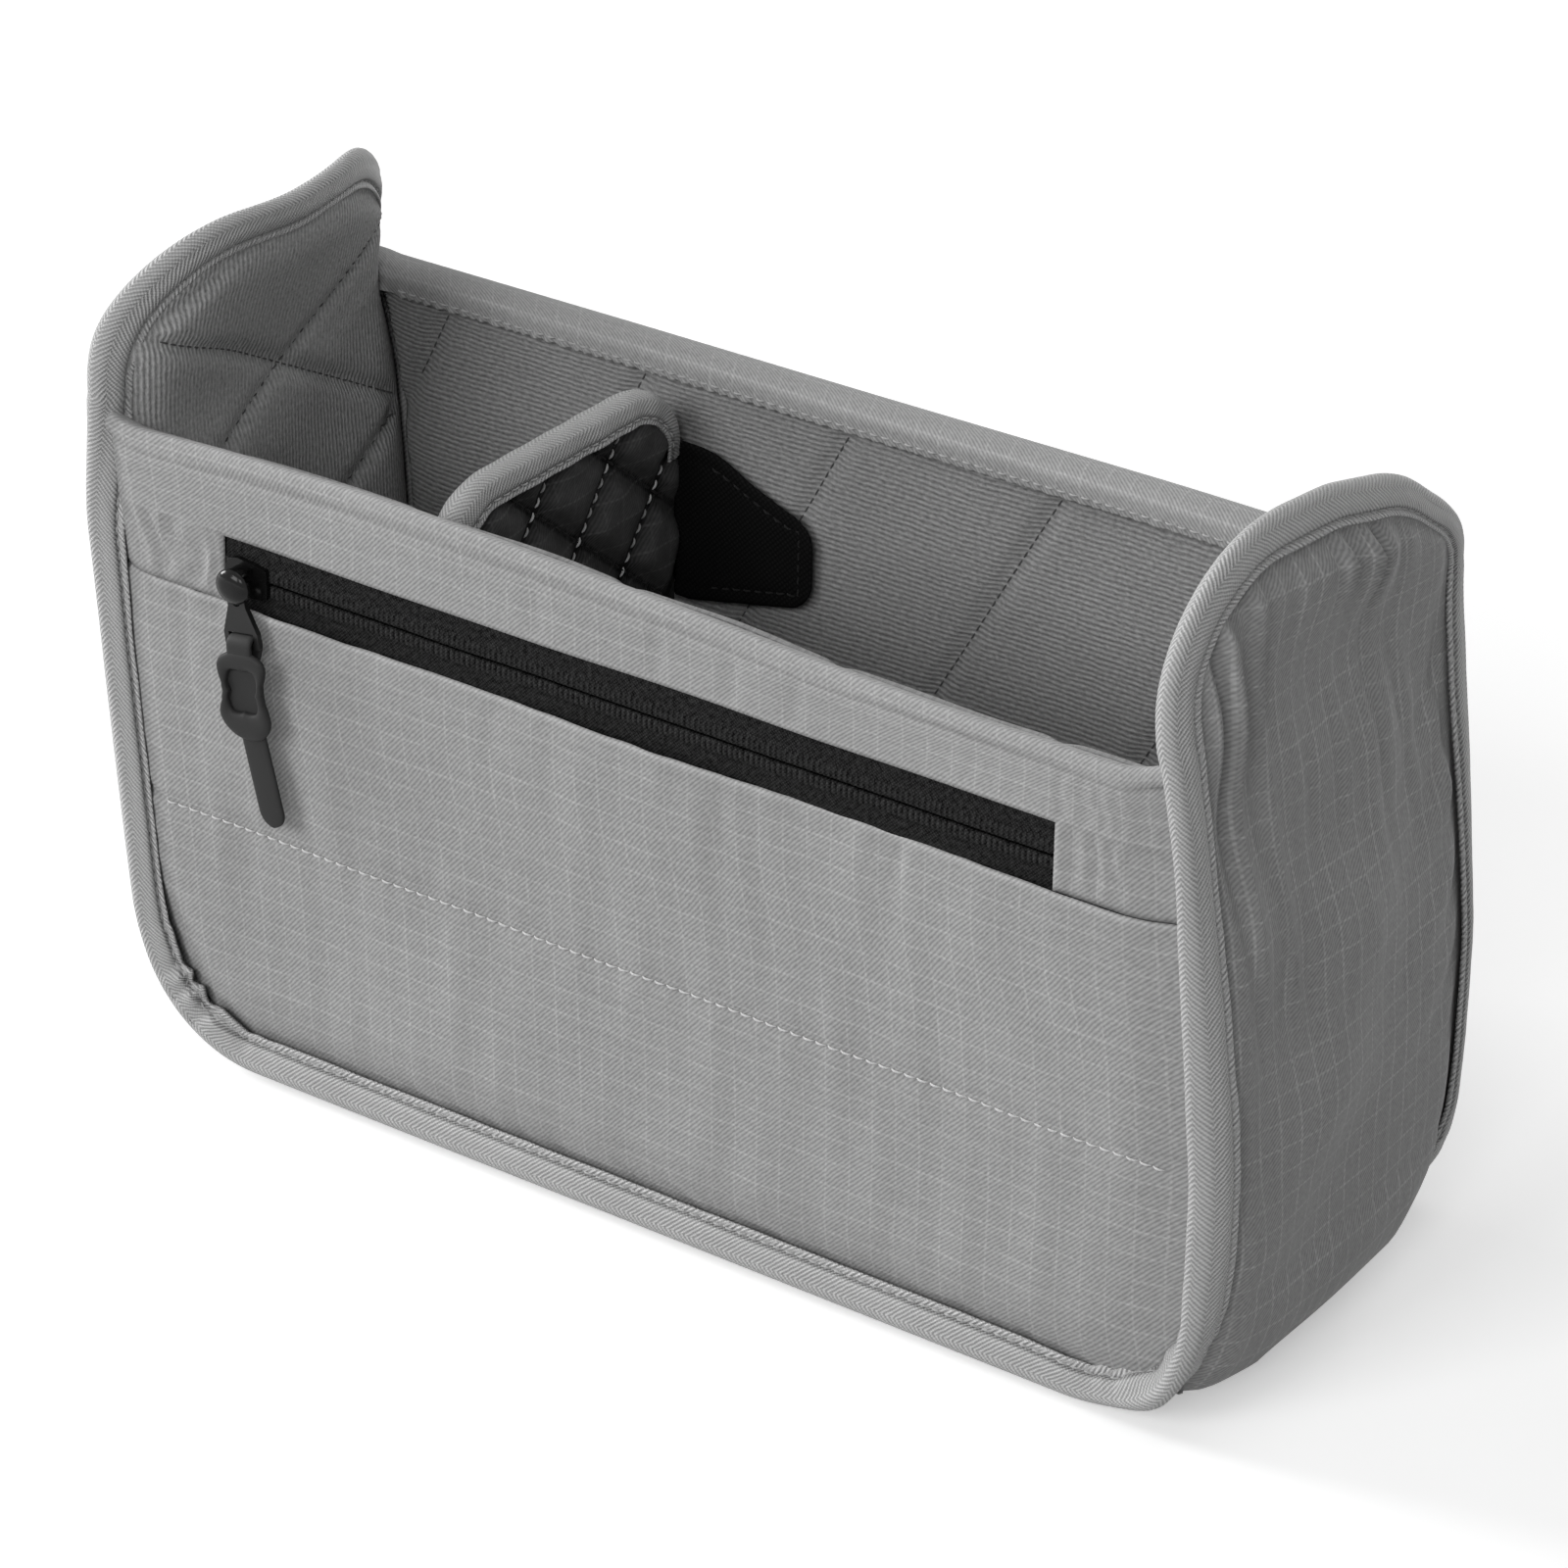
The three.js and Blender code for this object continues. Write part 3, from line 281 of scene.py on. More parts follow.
# Each ring of a stitch: place along it, girth and rise, as shares of its length and radius.
STITCH_RINGS = (
    (-0.5, 0.55, -1.2), (-0.25, 0.95, 0.35), (0.0, 1.0, 0.75), (0.25, 0.95, 0.35), (0.5, 0.55, -1.2),
)
STITCH_SIDES = 6
STITCH_CAPS = [(3, 2, 1, 0), (5, 4, 3, 0), (24, 25, 26, 27), (24, 27, 28, 29)]


def stitch_row(path, normals, pitch, length, radius, lift):
    """Points and faces of one row of thread stitches lying along a path on cloth."""
    along = lengths(path)
    count = max(1, int((along[-1] - length) / pitch))
    middle = length / 2 + pitch * np.arange(count) + (along[-1] - length - pitch * (count - 1)) / 2
    normals = np.broadcast_to(normals, path.shape)
    points = np.zeros((count, len(STITCH_RINGS), STITCH_SIDES, 3))
    for r, (place, girth, rise) in enumerate(STITCH_RINGS):
        s = middle + place * length
        up = unit(resample(s, along, normals))
        ahead = unit(resample(s + 0.3, along, path) - resample(s - 0.3, along, path))
        side = unit(np.cross(ahead, up))
        here = resample(s, along, path)
        for q in range(STITCH_SIDES):
            a = 2 * math.pi * q / STITCH_SIDES
            height = lift + radius * rise + radius * girth * math.sin(a)
            points[:, r, q] = here + up * height + side * radius * girth * math.cos(a)
    quads = []
    for r in range(len(STITCH_RINGS) - 1):
        for q in range(STITCH_SIDES):
            a, b = r * STITCH_SIDES + q, r * STITCH_SIDES + (q + 1) % STITCH_SIDES
            quads.append((a, b, b + STITCH_SIDES, a + STITCH_SIDES))
    first = (np.arange(count) * len(STITCH_RINGS) * STITCH_SIDES)[:, None]
    faces = np.vstack([first + np.array(quad) for quad in quads + STITCH_CAPS])
    return points.reshape(-1, 3), faces


def stitches(name, rows, skin, size, body="bag"):
    """Rows of thread stitches as one piece; each row is its path and the way the cloth faces there."""
    points, faces, first = [], [], 0
    for path, normals in rows:
        row_points, row_faces = stitch_row(path, normals, *size)
        points.append(row_points)
        faces.append(row_faces + first)
        first += len(row_points)
    make(name, np.vstack(points), np.vstack(faces), None, skin, body)


# Procedural materials

class Signal:
    """A shader value that is added, subtracted and multiplied as a number is."""

    def __init__(self, tree, socket):
        self.tree = tree
        self.socket = socket

    def __add__(self, other):
        return self.tree.math("ADD", self, other)

    def __sub__(self, other):
        return self.tree.math("SUBTRACT", self, other)

    def __mul__(self, other):
        return self.tree.math("MULTIPLY", self, other)

    def __abs__(self):
        return self.tree.math("ABSOLUTE", self)


class Tree:
    """A short way to write shader nodes of a material or a world."""

    def __init__(self, owner):
        owner.use_nodes = True
        self.owner = owner
        self.nodes = owner.node_tree.nodes
        self.links = owner.node_tree.links
        self.nodes.clear()
        self.normal = None

    def node(self, kind, inputs=(), **settings):
        """A new node with its settings and inputs."""
        node = self.nodes.new("ShaderNode" + kind)
        for name, value in settings.items():
            setattr(node, name, value)
        for key, value in dict(inputs).items():
            if isinstance(value, Signal):
                self.links.new(value.socket, node.inputs[key])
            else:
                node.inputs[key].default_value = value
        return node

    def value(self, kind, inputs=(), out=0, **settings):
        """One output of a new node."""
        return Signal(self, self.node(kind, inputs, **settings).outputs[out])

    def math(self, operation, a, b=0.0):
        return self.value("Math", {0: a, 1: b}, operation=operation)

    def split(self, vector):
        return [Signal(self, socket) for socket in self.node("SeparateXYZ", {0: vector}).outputs]

    def pair(self, *parts):
        return self.value("CombineXYZ", enumerate(parts))

    def cloth(self):
        """The two flat coordinates of the cloth, in millimetres, and both as one place."""
        u, v, _ = self.split(self.value("UVMap", uv_map="cloth"))
        return u, v, self.pair(u, v)

    def space(self):
        """The place in the piece's own frame, in millimetres."""
        place = self.value("TexCoord", out="Object")
        return self.value("VectorMath", {0: place, "Scale": 1 / MM}, operation="SCALE")

    def noise(self, place, size, detail=2.0, rough=0.5):
        inputs = {"Vector": place, "Scale": 1.0 / size, "Detail": detail, "Roughness": rough}
        return self.value("TexNoise", inputs, out="Fac")

    def drift(self, place, size, reach):
        """Plain noise about 0."""
        return (self.noise(place, size, 1.0) - 0.5) * reach

    def wave(self, coordinate, period):
        """A sine from 0 to 1 along a coordinate."""
        return self.math("SINE", coordinate * (2 * math.pi / period)) * 0.5 + 0.5

    def pulse(self, coordinate, period, width):
        """1 on a thin line at each period, 0 between."""
        phase = self.math("FRACT", self.math("DIVIDE", coordinate, period))
        return self.ramp(abs(phase - 0.5), 0.5 - width / period, 0.5 - 0.35 * width / period)

    def ramp(self, value, low, high, to_low=0.0, to_high=1.0):
        """Goes smoothly from one level to another as a value goes from low to high."""
        names = ("Value", "From Min", "From Max", "To Min", "To Max")
        inputs = zip(names, (value, low, high, to_low, to_high))
        return self.value("MapRange", inputs, interpolation_type="SMOOTHSTEP")

    def above(self, value, least):
        return self.math("MAXIMUM", value, least)

    def bump(self, height, depth, strength):
        inputs = {"Strength": strength, "Distance": depth * MM, "Height": height}
        self.normal = self.value("Bump", inputs)

    def finish(self, level, rough, specular, sheen=0.0, glow=None):
        """Ends a material: a neutral colour of a varying level."""
        inputs = {
            "Base Color": self.pair(level, level, level),
            "Roughness": rough,
            "Specular IOR Level": specular,
            "Sheen Weight": sheen,
            "Sheen Roughness": 0.5,
        }
        if self.normal:
            inputs["Normal"] = self.normal
        if glow:
            inputs["Emission Color"] = WHITE
            inputs["Emission Strength"] = glow
        self.node("OutputMaterial", {0: self.value("BsdfPrincipled", inputs)})
        return self.owner


def surface(name):
    return Tree(bpy.data.materials.new(name))


TWILL_PITCH = 1.13
GRID_PITCH = 5.6
DOT_PITCH = 1.55


def ripstop_cloth(
        name, level, line, rough=0.56, sheen=0.06, specular=0.2, contrast=0.36, upright=0.45, seams=()):
    """Twill-faced ripstop: slanting ribs and a grid of paler dotted threads, with painted shade along its
    sewn quilt lines.
    """
    t = surface(name)
    u, v, place = t.cloth()
    sway = t.drift(place, 9.0, 0.9)
    twill = t.wave(v - u * 1.05 + (sway + t.drift(place, 1.6, 0.45)), TWILL_PITCH)
    across = t.pulse(v + sway * 0.3, GRID_PITCH, 0.36) * (t.wave(u, DOT_PITCH) * 0.7 + 0.3)
    down = t.pulse(u + sway * 0.3, GRID_PITCH, 0.32) * (t.wave(v, DOT_PITCH) * 0.7 + 0.3)
    worn = t.ramp(t.noise(place, 14.0), 0.35, 0.65, 0.5, 1.0)
    threads = t.above(across, down * upright) * worn
    cloud = t.noise(place, 46.0, 3.0)
    slub = t.noise(t.pair(u * 0.12, v), 2.2)
    speck = t.noise(place, 1.1, 2.0, 0.6)
    tone = (twill - 0.5) * contrast + (speck - 0.5) * 0.6
    tone = tone + (cloud - 0.5) * 0.18 + (slub - 0.5) * 0.16 + threads * line
    # Painted shade: a broad dark band and a thin darker line along each sewn quilt line, standing for the
    # shade in the quilting's grooves.
    for angle, pitch, start in seams:
        over = u * abs(math.sin(angle)) - v * math.copysign(math.cos(angle), angle) - start
        tone = tone - (t.pulse(over, pitch, 4.5) * 0.3 + t.pulse(over, pitch, 1.3) * 0.35)
    t.bump(twill * 0.55 + threads * 0.8 + speck * 0.4, 0.12, 0.35)
    return t.finish(t.above(tone + 1.0, 0.1) * level, cloud * 0.12 + (rough - 0.06), specular, sheen)


def herringbone_tape(name, level, sewn):
    """Folded tape: slanting ribs that meet beside the fold, a touch paler towards the fold, painted shade
    in the sewn groove and a rope-like lip.
    """
    t = surface(name)
    u, v, place = t.cloth()
    side = abs(u)
    chevron = abs(side - 3.2)
    fuzz = t.noise(place, 0.9)
    rib = t.wave(v + chevron * 1.1 + t.drift(place, 1.8, 0.5), 1.2)
    cross = t.wave(v - chevron * 0.9, 0.8)
    groove = t.ramp(side, sewn - 0.8, sewn - 0.1) * t.ramp(side, sewn + 1.0, sewn + 0.5)
    lip = t.ramp(side, sewn + 0.7, sewn + 1.1)
    rope = t.wave(v + side * 0.8, 1.5)
    tone = (rib - 0.5) * 0.62 + (cross - 0.5) * 0.12
    tone = tone + ((t.noise(place, 18.0) - 0.5) * 0.14 + (fuzz - 0.5) * 0.25)
    # The groove term darkens the sewn groove: painted shade in that recess.
    tone = tone + t.ramp(side, 3.4, 0.2) * 0.05 - groove * 0.42 + lip * (rope * 0.6 - 0.2)
    t.bump(rib * 0.8 + cross * 0.3, 0.3, 0.7)
    return t.finish((tone + 1.0) * level, fuzz * 0.15 + 0.4, 0.32, sheen=0.12)


def loop_knit(name, level):
    """Brushed loop lining: fine courses of soft loops."""
    t = surface(name)
    u, v, place = t.cloth()
    course = t.wave(v + t.drift(place, 6.0, 0.8), 1.22)
    loop = t.noise(t.pair(u * 0.8, v * 1.3), 0.95, 3.0, 0.7)
    tone = (course - 0.5) * 0.3 + (loop - 0.5) * 1.7 + (t.noise(place, 30.0) - 0.5) * 0.2
    t.bump(course * 0.7 + loop, 0.45, 0.7)
    return t.finish(t.above(tone + 1.0, 0.2) * level, 0.95, 0.05, sheen=0.15)


def plain_weave(name, level, pitch, rough=0.8, contrast=0.3, depth=0.15, grain=0.25, rib_highlight=0.0):
    """Small over-and-under weave, for webbing, zip tape and pocket cloth, with, when asked for, painted
    highlights on the tape's ribs over the coil behind it.
    """
    t = surface(name)
    u, v, place = t.cloth()
    check = abs(t.wave(u, pitch) - t.wave(v, pitch))
    fuzz = t.noise(place, 1.0)
    tone = (check - 0.5) * contrast + (t.noise(place, 12.0) - 0.5) * 0.2 + (fuzz - 0.5) * grain
    # Painted highlight: paler stripes at the coil's pitch where the tape's ribs over the coil would catch
    # the light.
    if rib_highlight:
        off = abs(v)
        band = t.ramp(off, 0.3, 0.6) * t.ramp(off, 3.2, 2.7)
        tone = tone + band * (t.wave(u, COIL_PITCH) - 0.25) * rib_highlight
    t.bump(check + fuzz * 0.4, depth, 0.6)
    return t.finish((t.above(tone, -0.9) + 1.0) * level, rough, 0.02)


def twisted_thread(name, level):
    t = surface(name)
    place = t.space()
    x, y, z = t.split(place)
    ply = t.wave(x + y + z * 1.3, 0.42)
    tone = (ply - 0.5) * 0.35 + (t.noise(place, 0.5) - 0.5) * 0.3
    t.bump(ply, 0.08, 0.6)
    return t.finish((tone + 1.0) * level, 0.6, 0.06, sheen=0.1)


def enamel(name, level, rough, specular):
    """Painted metal: uneven gloss and faint orange peel."""
    t = surface(name)
    place = t.space()
    cloud = t.noise(place, 5.0, 3.0)
    t.bump(t.noise(place, 0.9), 0.03, 0.35)
    return t.finish(((cloud - 0.5) * 0.5 + 1.0) * level, cloud * 0.16 + (rough - 0.08), specular)


def moulded_rubber(name, level):
    t = surface(name)
    place = t.space()
    cloud = t.noise(place, 7.0, 3.0)
    t.bump(t.noise(place, 0.35, 2.0, 0.6), 0.05, 0.4)
    return t.finish(((cloud - 0.5) * 0.35 + 1.0) * level, cloud * 0.15 + 0.48, 0.15)


RIPSTOP = ripstop_cloth("grey_ripstop", 0.355, 0.28, contrast=0.46, upright=0.95)
# A slightly darker copy of the grey ripstop: painted shade for the end walls.
WALL_RIPSTOP_PAINTED_SHADE = ripstop_cloth("wall_ripstop_painted_shade", 0.345, 0.5, sheen=0.0, specular=0.08, upright=0.9)
TAPE = herringbone_tape("herringbone_tape", 0.44, 7.8)
RIM_TAPE = herringbone_tape("rim_tape", 0.46, 7.0)
LINING = loop_knit("loop_lining", 0.31)
# A brighter copy of the loop lining: painted light on the end walls' inner faces, which the lamps barely
# reach.
WALL_LINING_PAINTED_LIGHT = loop_knit("wall_lining_painted_light", 0.46)
# The divider's cloth carries painted shade along both sets of quilt lines.
QUILT = ripstop_cloth("black_ripstop", 0.09, 0.7, 0.5, 0.0, 0.06, seams=(PALE_LINES, DARK_LINES))
WEBBING = plain_weave("black_webbing", 0.009, 1.3, contrast=0.9)
HOOK = plain_weave("hook_tape", 0.012, 1.0, rough=0.9, depth=0.5)
# The zip tape carries painted highlights on its ribs over the coil.
ZIPPER = plain_weave("zip_tape", 0.024, 0.8, rough=0.6, contrast=1.0, depth=0.4, grain=3.0, rib_highlight=1.1)
POCKET = plain_weave("pocket_cloth", 0.05, 0.7)
PALE_THREAD = twisted_thread("pale_thread", 0.72)
GREY_THREAD = twisted_thread("grey_thread", 0.5)
SEAM_THREAD = twisted_thread("seam_thread", 0.1)
DARK_THREAD = twisted_thread("dark_thread", 0.018)
SLIDER_PAINT = enamel("slider_enamel", 0.006, 0.14, 0.2)
LINK_PAINT = enamel("link_enamel", 0.012, 0.36, 0.25)
RUBBER = moulded_rubber("pull_rubber", 0.030)


# Camera, light and floor

FOCAL_PX = 6500.0
IMAGE_PX = 1600.0
SENSOR = 36.0
YAW, PITCH, ROLL = (math.radians(a) for a in (34.866, 28.213, 1.002))
TARGET = Vector((4.907, 0.0, 83.009)) * MM
DISTANCE = 1311.66 * MM

# Each lamp: name, place, aim and size in metres, and watts.
LAMPS = (
    ("key", (-0.9, -3.65, 2.1), (0, 0, 0.08), (1.8, 1.8), 69.0),
    ("rim", (-3.4, -0.5, 1.2), (-0.1, 0, 0.1), (1.2, 1.2), 94.0),
    ("back", (0.3, 3.6, 1.6), (0, 0, 0.1), (1.8, 1.2), 28.0),
    ("top", (0.2, 0.4, 3.6), (0, 0, 0.05), (1.8, 1.8), 10.0),
    ("side", (1.2, -3.1, 2.2), (0, 0, 0.1), (1.2, 1.2), 28.0),
)
WORLD_FILL = 0.17
FLOOR_RADIUS = 6.0
FLOOR_Z = -0.0002
FLOOR_SIDES = 48


def look():
    back = Vector((math.sin(YAW) * math.cos(PITCH), -math.cos(YAW) * math.cos(PITCH), math.sin(PITCH)))
    right = Vector((math.cos(YAW), math.sin(YAW), 0.0))
    up = back.cross(right)
    c, s = math.cos(ROLL), math.sin(ROLL)
    axes = Matrix((c * right + s * up, c * up - s * right, back)).transposed().to_4x4()
    data = bpy.data.cameras.new("camera")
    data.sensor_width = SENSOR
    data.lens = FOCAL_PX / IMAGE_PX * SENSOR
    data.clip_start, data.clip_end = 0.05, 30.0
    camera = bpy.data.objects.new("camera", data)
    camera.matrix_world = Matrix.Translation(TARGET + back * DISTANCE) @ axes
    SCENE.collection.objects.link(camera)
    SCENE.camera = camera


def softbox(name, place, aim, size, power):
    data = bpy.data.lights.new(name, "AREA")
    data.shape = "RECTANGLE"
    data.size, data.size_y = size
    data.energy = power
    lamp = bpy.data.objects.new(name, data)
    lamp.location = place
    lamp.rotation_mode = "QUATERNION"
    lamp.rotation_quaternion = (Vector(aim) - Vector(place)).to_track_quat("-Z", "Y")
    SCENE.collection.objects.link(lamp)


def backdrop_white(tree):
    """1 for the rays that show the backdrop, also in gloss and glass, 0 for those that light the part."""
    path = tree.node("LightPath")
    kinds = ("Is Camera Ray", "Is Glossy Ray", "Is Transmission Ray")
    seen, gloss, glass = (Signal(tree, path.outputs[kind]) for kind in kinds)
    return tree.above(tree.above(seen, gloss), glass)


def floor():
    """A round floor that fades into the white backdrop."""
    t = surface("pale_floor")
    place = t.space()
    seen = backdrop_white(t)
    level = seen * 0.35 + (t.noise(place, 30.0) * 0.02 + 0.5)
    reach = t.value("VectorMath", {0: place}, out="Value", operation="LENGTH")
    skin = t.finish(level, 0.9, 0.05, glow=seen * t.ramp(reach, 450.0, 1600.0, 0.42, 1.0))
    n = FLOOR_SIDES
    r = np.geomspace(0.2, FLOOR_RADIUS, 14)
    a = np.linspace(0, 2 * math.pi, n, endpoint=False)
    points = join(np.outer(r, np.cos(a)), np.outer(r, np.sin(a)), FLOOR_Z)
    faces = []
    for i in range(len(r) - 1):
        for j in range(n):
            k = (j + 1) % n
            faces.append((i * n + j, (i + 1) * n + j, (i + 1) * n + k, i * n + k))
    faces.append(tuple(range(n)))
    mesh = bpy.data.meshes.new("floor")
    mesh.from_pydata(points.reshape(-1, 3).tolist(), [], faces)
    mesh.materials.append(skin)
    piece = bpy.data.objects.new("floor", mesh)
    SCENE.collection.objects.link(piece)


def studio():
    world = Tree(bpy.data.worlds.new("studio"))
    SCENE.world = world.owner
    fill = world.value("Background", {0: WHITE, 1: WORLD_FILL})
    white = world.value("Background", {0: WHITE, 1: 1.0})
    mix = world.value("MixShader", {0: backdrop_white(world), 1: fill, 2: white})
    world.node("OutputWorld", {0: mix})
    for lamp in LAMPS:
        softbox(*lamp)
    floor()


look()
studio()


# The gusset: end walls and base in one strip

CORNER_SWELL = 7.5
PLEAT_DEPTH = 1.55
QUILT_DEPTH = 1.4
QUILT_WIDTH = 2.0
LINING_INSET = 5.0
WALL_QUILT = (90.0, 50.0)
WALL_QUILT_Y, WALL_QUILT_RUN = 4.0, -259.0


def u_profile():
    """Stations down the left wall, along the base and up the right one: x, z, normal, and the run."""
    straight = np.linspace(107.5, BASE_Z + BASE_RADIUS, 34)
    left = [(-WALL_X, z, -1.0, 0.0) for z in (*np.linspace(ARCH_TOP, WALL_STRAIGHT, 38), *straight)]
    inner = WALL_X - BASE_RADIUS
    for a in np.linspace(0, math.pi / 2, 20)[1:]:
        nx, nz = -math.cos(a), -math.sin(a)
        left.append((-inner + BASE_RADIUS * nx, BASE_Z + BASE_RADIUS + BASE_RADIUS * nz, nx, nz))
    base = [(x, BASE_Z, 0.0, -1.0) for x in np.linspace(-inner, inner, 80)[1:-1]]
    right = [(-x, z, -nx, nz) for x, z, nx, nz in reversed(left)]
    rows = np.array(left + base + right)
    run = lengths(rows[:, :2])
    return rows, run - run[-1] / 2


def arched(y, low, high, top, radius):
    """Height of an edge with rounded ends over a depth."""
    near = np.clip(radius - np.minimum(y - low, high - y), 0, radius)
    return top - radius + np.sqrt(np.maximum(radius**2 - near**2, 0))


def arch_height(y, inset):
    return arched(y, FRONT + 0.5 + inset, BACK - 0.5 - inset, ARCH_TOP - inset, ARCH_RADIUS - inset)


def gusset_grid(margin, inset, columns):
    """The stiff strip: x, y, z, outward normal, run along it and distance from its sewn edge."""
    rows, run = u_profile()
    low, high = FRONT + margin, BACK - margin
    turn = np.linspace(0, math.pi, columns)
    y = (low + high) / 2 - (high - low) / 2 * (0.55 * np.cos(turn) + 0.45 * (1 - 2 * turn / math.pi))
    s, y = cells(run, y)
    x, z, nx, nz = (np.repeat(column[:, None], columns, 1) for column in rows.T)
    top = arch_height(y, inset)
    share = (z - WALL_STRAIGHT) / (ARCH_TOP - WALL_STRAIGHT)
    lowered = np.where(z > WALL_STRAIGHT, WALL_STRAIGHT + share * (top - WALL_STRAIGHT), z)
    s = s + np.sign(s) * (lowered - z)
    edge = np.minimum(np.minimum(y - low, high - y), np.where(lowered > 100, top - lowered, 99.0))
    return x, y, lowered, nx, nz, s, edge


def gusset_cover():
    x, y, z, nx, nz, s, edge = gusset_grid(margin=2.2, inset=1.5, columns=84)
    pulled = (1.9 - 0.6 * smooth(-10, 30, y)) * (1 - smooth(5, 13, edge))
    swell = CORNER_SWELL * 2 * np.abs(nx * nz) * within((edge - 6) / 18) ** 0.6
    fold = y + ripple(y, z, 3, 60) + 0.05 * z
    pleat = swing(fold, 9.0) + 0.45 * swing(fold, 5.3, 1.0)
    near_arch = np.exp(-np.maximum(edge - 4, 0) / 34) * smooth(55, 135, z)
    creases = PLEAT_DEPTH * pleat * near_arch * (0.75 + 0.5 * ripple(y, z, 4, 40))
    creases = creases * (1 - 0.6 * smooth(0, 40, y))
    drag = swing(z * 0.8 + (BACK - y) * 0.75, 13) * np.exp(-np.maximum(BACK - 4 - y, 0) / 12)
    drag = 1.3 * drag * smooth(35, 70, z) * (1 - smooth(125, 150, z))
    slack = ripple(y, s, 5, 48)
    on_wall = np.abs(nx) ** 2 * np.where(z < BASE_Z + 0.5, 0.0, 1.0) * smooth(4, 12, edge)
    inward = pulled - swell - (creases + drag + slack) * on_wall + 0.2
    points = soft(join(x - inward * nx, y, z - inward * nz))
    piece = grid("gusset_cover", points, join(s, y), WALL_RIPSTOP_PAINTED_SHADE, out=(-1, 0, 0))
    dress(piece, ["gusset_shell"], WALL_CLOTH)


def quilt_relief(u, v, pitch_u, pitch_v, both=True):
    """0 in the sewn lines of a diamond quilt, 1 between them."""
    a, b = u / pitch_u - v / pitch_v, u / pitch_u + v / pitch_v
    gap = np.abs(a - np.round(a))
    if both:
        gap = np.minimum(gap, np.abs(b - np.round(b)))
    return 1 - bell(gap / math.hypot(1 / pitch_u, 1 / pitch_v), QUILT_WIDTH)


def gusset_lining():
    x, y, z, nx, nz, s, edge = gusset_grid(margin=5.8, inset=LINING_INSET, columns=80)
    puff = quilt_relief(y - WALL_QUILT_Y, s - WALL_QUILT_RUN, *WALL_QUILT)
    depth = WALL_THICKNESS - 3.2 * within(1 - edge / 12) ** 2 - QUILT_DEPTH * (1 - puff) * within(edge / 6)
    depth = depth + 0.3 * ripple(y, s, 6, 50)
    points = soft(join(x - depth * nx, y, z - depth * nz))
    piece = grid("gusset_lining_cloth", points, join(s, y), WALL_LINING_PAINTED_LIGHT, out=(1, 0, 0))
    dress(piece, ["gusset_lining", "gusset_foam"], LINING_CLOTH)

    profile, run = u_profile()
    y = np.linspace(FRONT + 8, BACK - 8, 160)
    rows = []
    for turn in (1, -1):
        for k in range(-3, 15):
            s = WALL_QUILT_RUN + WALL_QUILT[1] * (k - turn * (y - WALL_QUILT_Y) / WALL_QUILT[0])
            x, z, nx, nz = resample(s, run, profile).T
            inside = (np.abs(s) < run[-1] - 8) & (z < arch_height(y, LINING_INSET) - 6)
            if inside.sum() > 12:
                depth = WALL_THICKNESS - QUILT_DEPTH + 0.3 * ripple(y, s, 6, 50)
                path = soft(join(x - depth * nx, y, z - depth * nz))
                rows.append((path[inside], join(-nx, 0.0, -nz)[inside]))
    stitches("gusset_quilting", rows, SEAM_THREAD, LINING_STITCH)


gusset_cover()
gusset_lining()


# Front and back panels

EDGE_MARKS = [c * (PANEL_HALF - d) for c in (-1, 1) for d in (1.2, 2.6, 4.4, 6.5, 9.0, 12.0)]
WINDOW_STEPS = (0.0, 0.35, 0.8, 1.4, 2.2, 3.4)
ROLL_LINE = 142.4
# Creases over the zip: place and lean. Creases under it: place, lean and reach.
TOP_CREASES = ((-21.0, -0.05), (8.0, 0.05), (26.0, 0.08), (41.0, 0.1))
FRONT_CREASES = ((25.0, 0.1, 27.0), (6.0, -0.06, 18.0), (-32.0, 0.12, 22.0), (66.0, 0.05, 16.0))
# The front fold's section: share of the way over, and share of its height there.
FRONT_CREST = (
    (0.0, 0.02, 0.06, 0.12, 0.2, 0.32, 0.5, 0.7, 0.88, 1.0),
    (0.0, 0.45, 0.8, 0.97, 1.0, 0.93, 0.72, 0.43, 0.16, 0.0),
)
STRETCH_TO = 60.0
PANEL_QUILT = (50.8, 78.2)
PANEL_QUILT_X, PANEL_QUILT_Z = -6.7, 138.0
LINING_FOOT, LINING_TOP = 9.0, 144.0
FRONT_LINING_Y, BACK_LINING_Y = FRONT + 9.6, BACK - 8.9


def panel_edge(x, z):
    """Distance in from the sides and foot of a panel with rounded lower corners."""
    qx, qz = np.abs(x) - (PANEL_HALF - PANEL_RADIUS), (PANEL_FOOT + PANEL_RADIUS) - z
    corner = PANEL_RADIUS - np.hypot(qx, qz)
    return np.where((qx > 0) & (qz > 0), corner, np.minimum(PANEL_HALF - np.abs(x), z - PANEL_FOOT))


def panel_foot(x):
    reach = np.clip(np.abs(x) - (PANEL_HALF - PANEL_RADIUS), 0, PANEL_RADIUS)
    return PANEL_FOOT + PANEL_RADIUS - np.sqrt(np.maximum(PANEL_RADIUS**2 - reach**2, 0))


def panel_dip(x, z, edge):
    """How far the sewn edges pull the panel in, with little gathers along them."""
    run = np.where(edge < 12, x * 0.7 + z, 0.0)
    gathers = 0.25 * swing(run + 2 * ripple(x, z, 11, 25), 7.0) * bell(edge - 6, 4)
    close = smooth(-100, -122, x) * smooth(20, 45, z)
    low = 1 - smooth(18, 48, z)
    reach = 14.0 - 6.0 * close + 4.0 * low
    pull = (5.5 - 1.6 * close + 0.4 * low) * within(1 - edge / reach) ** 1.6
    return pull + gathers * (0.6 + 0.4 * ripple(x, z, 15, 60))


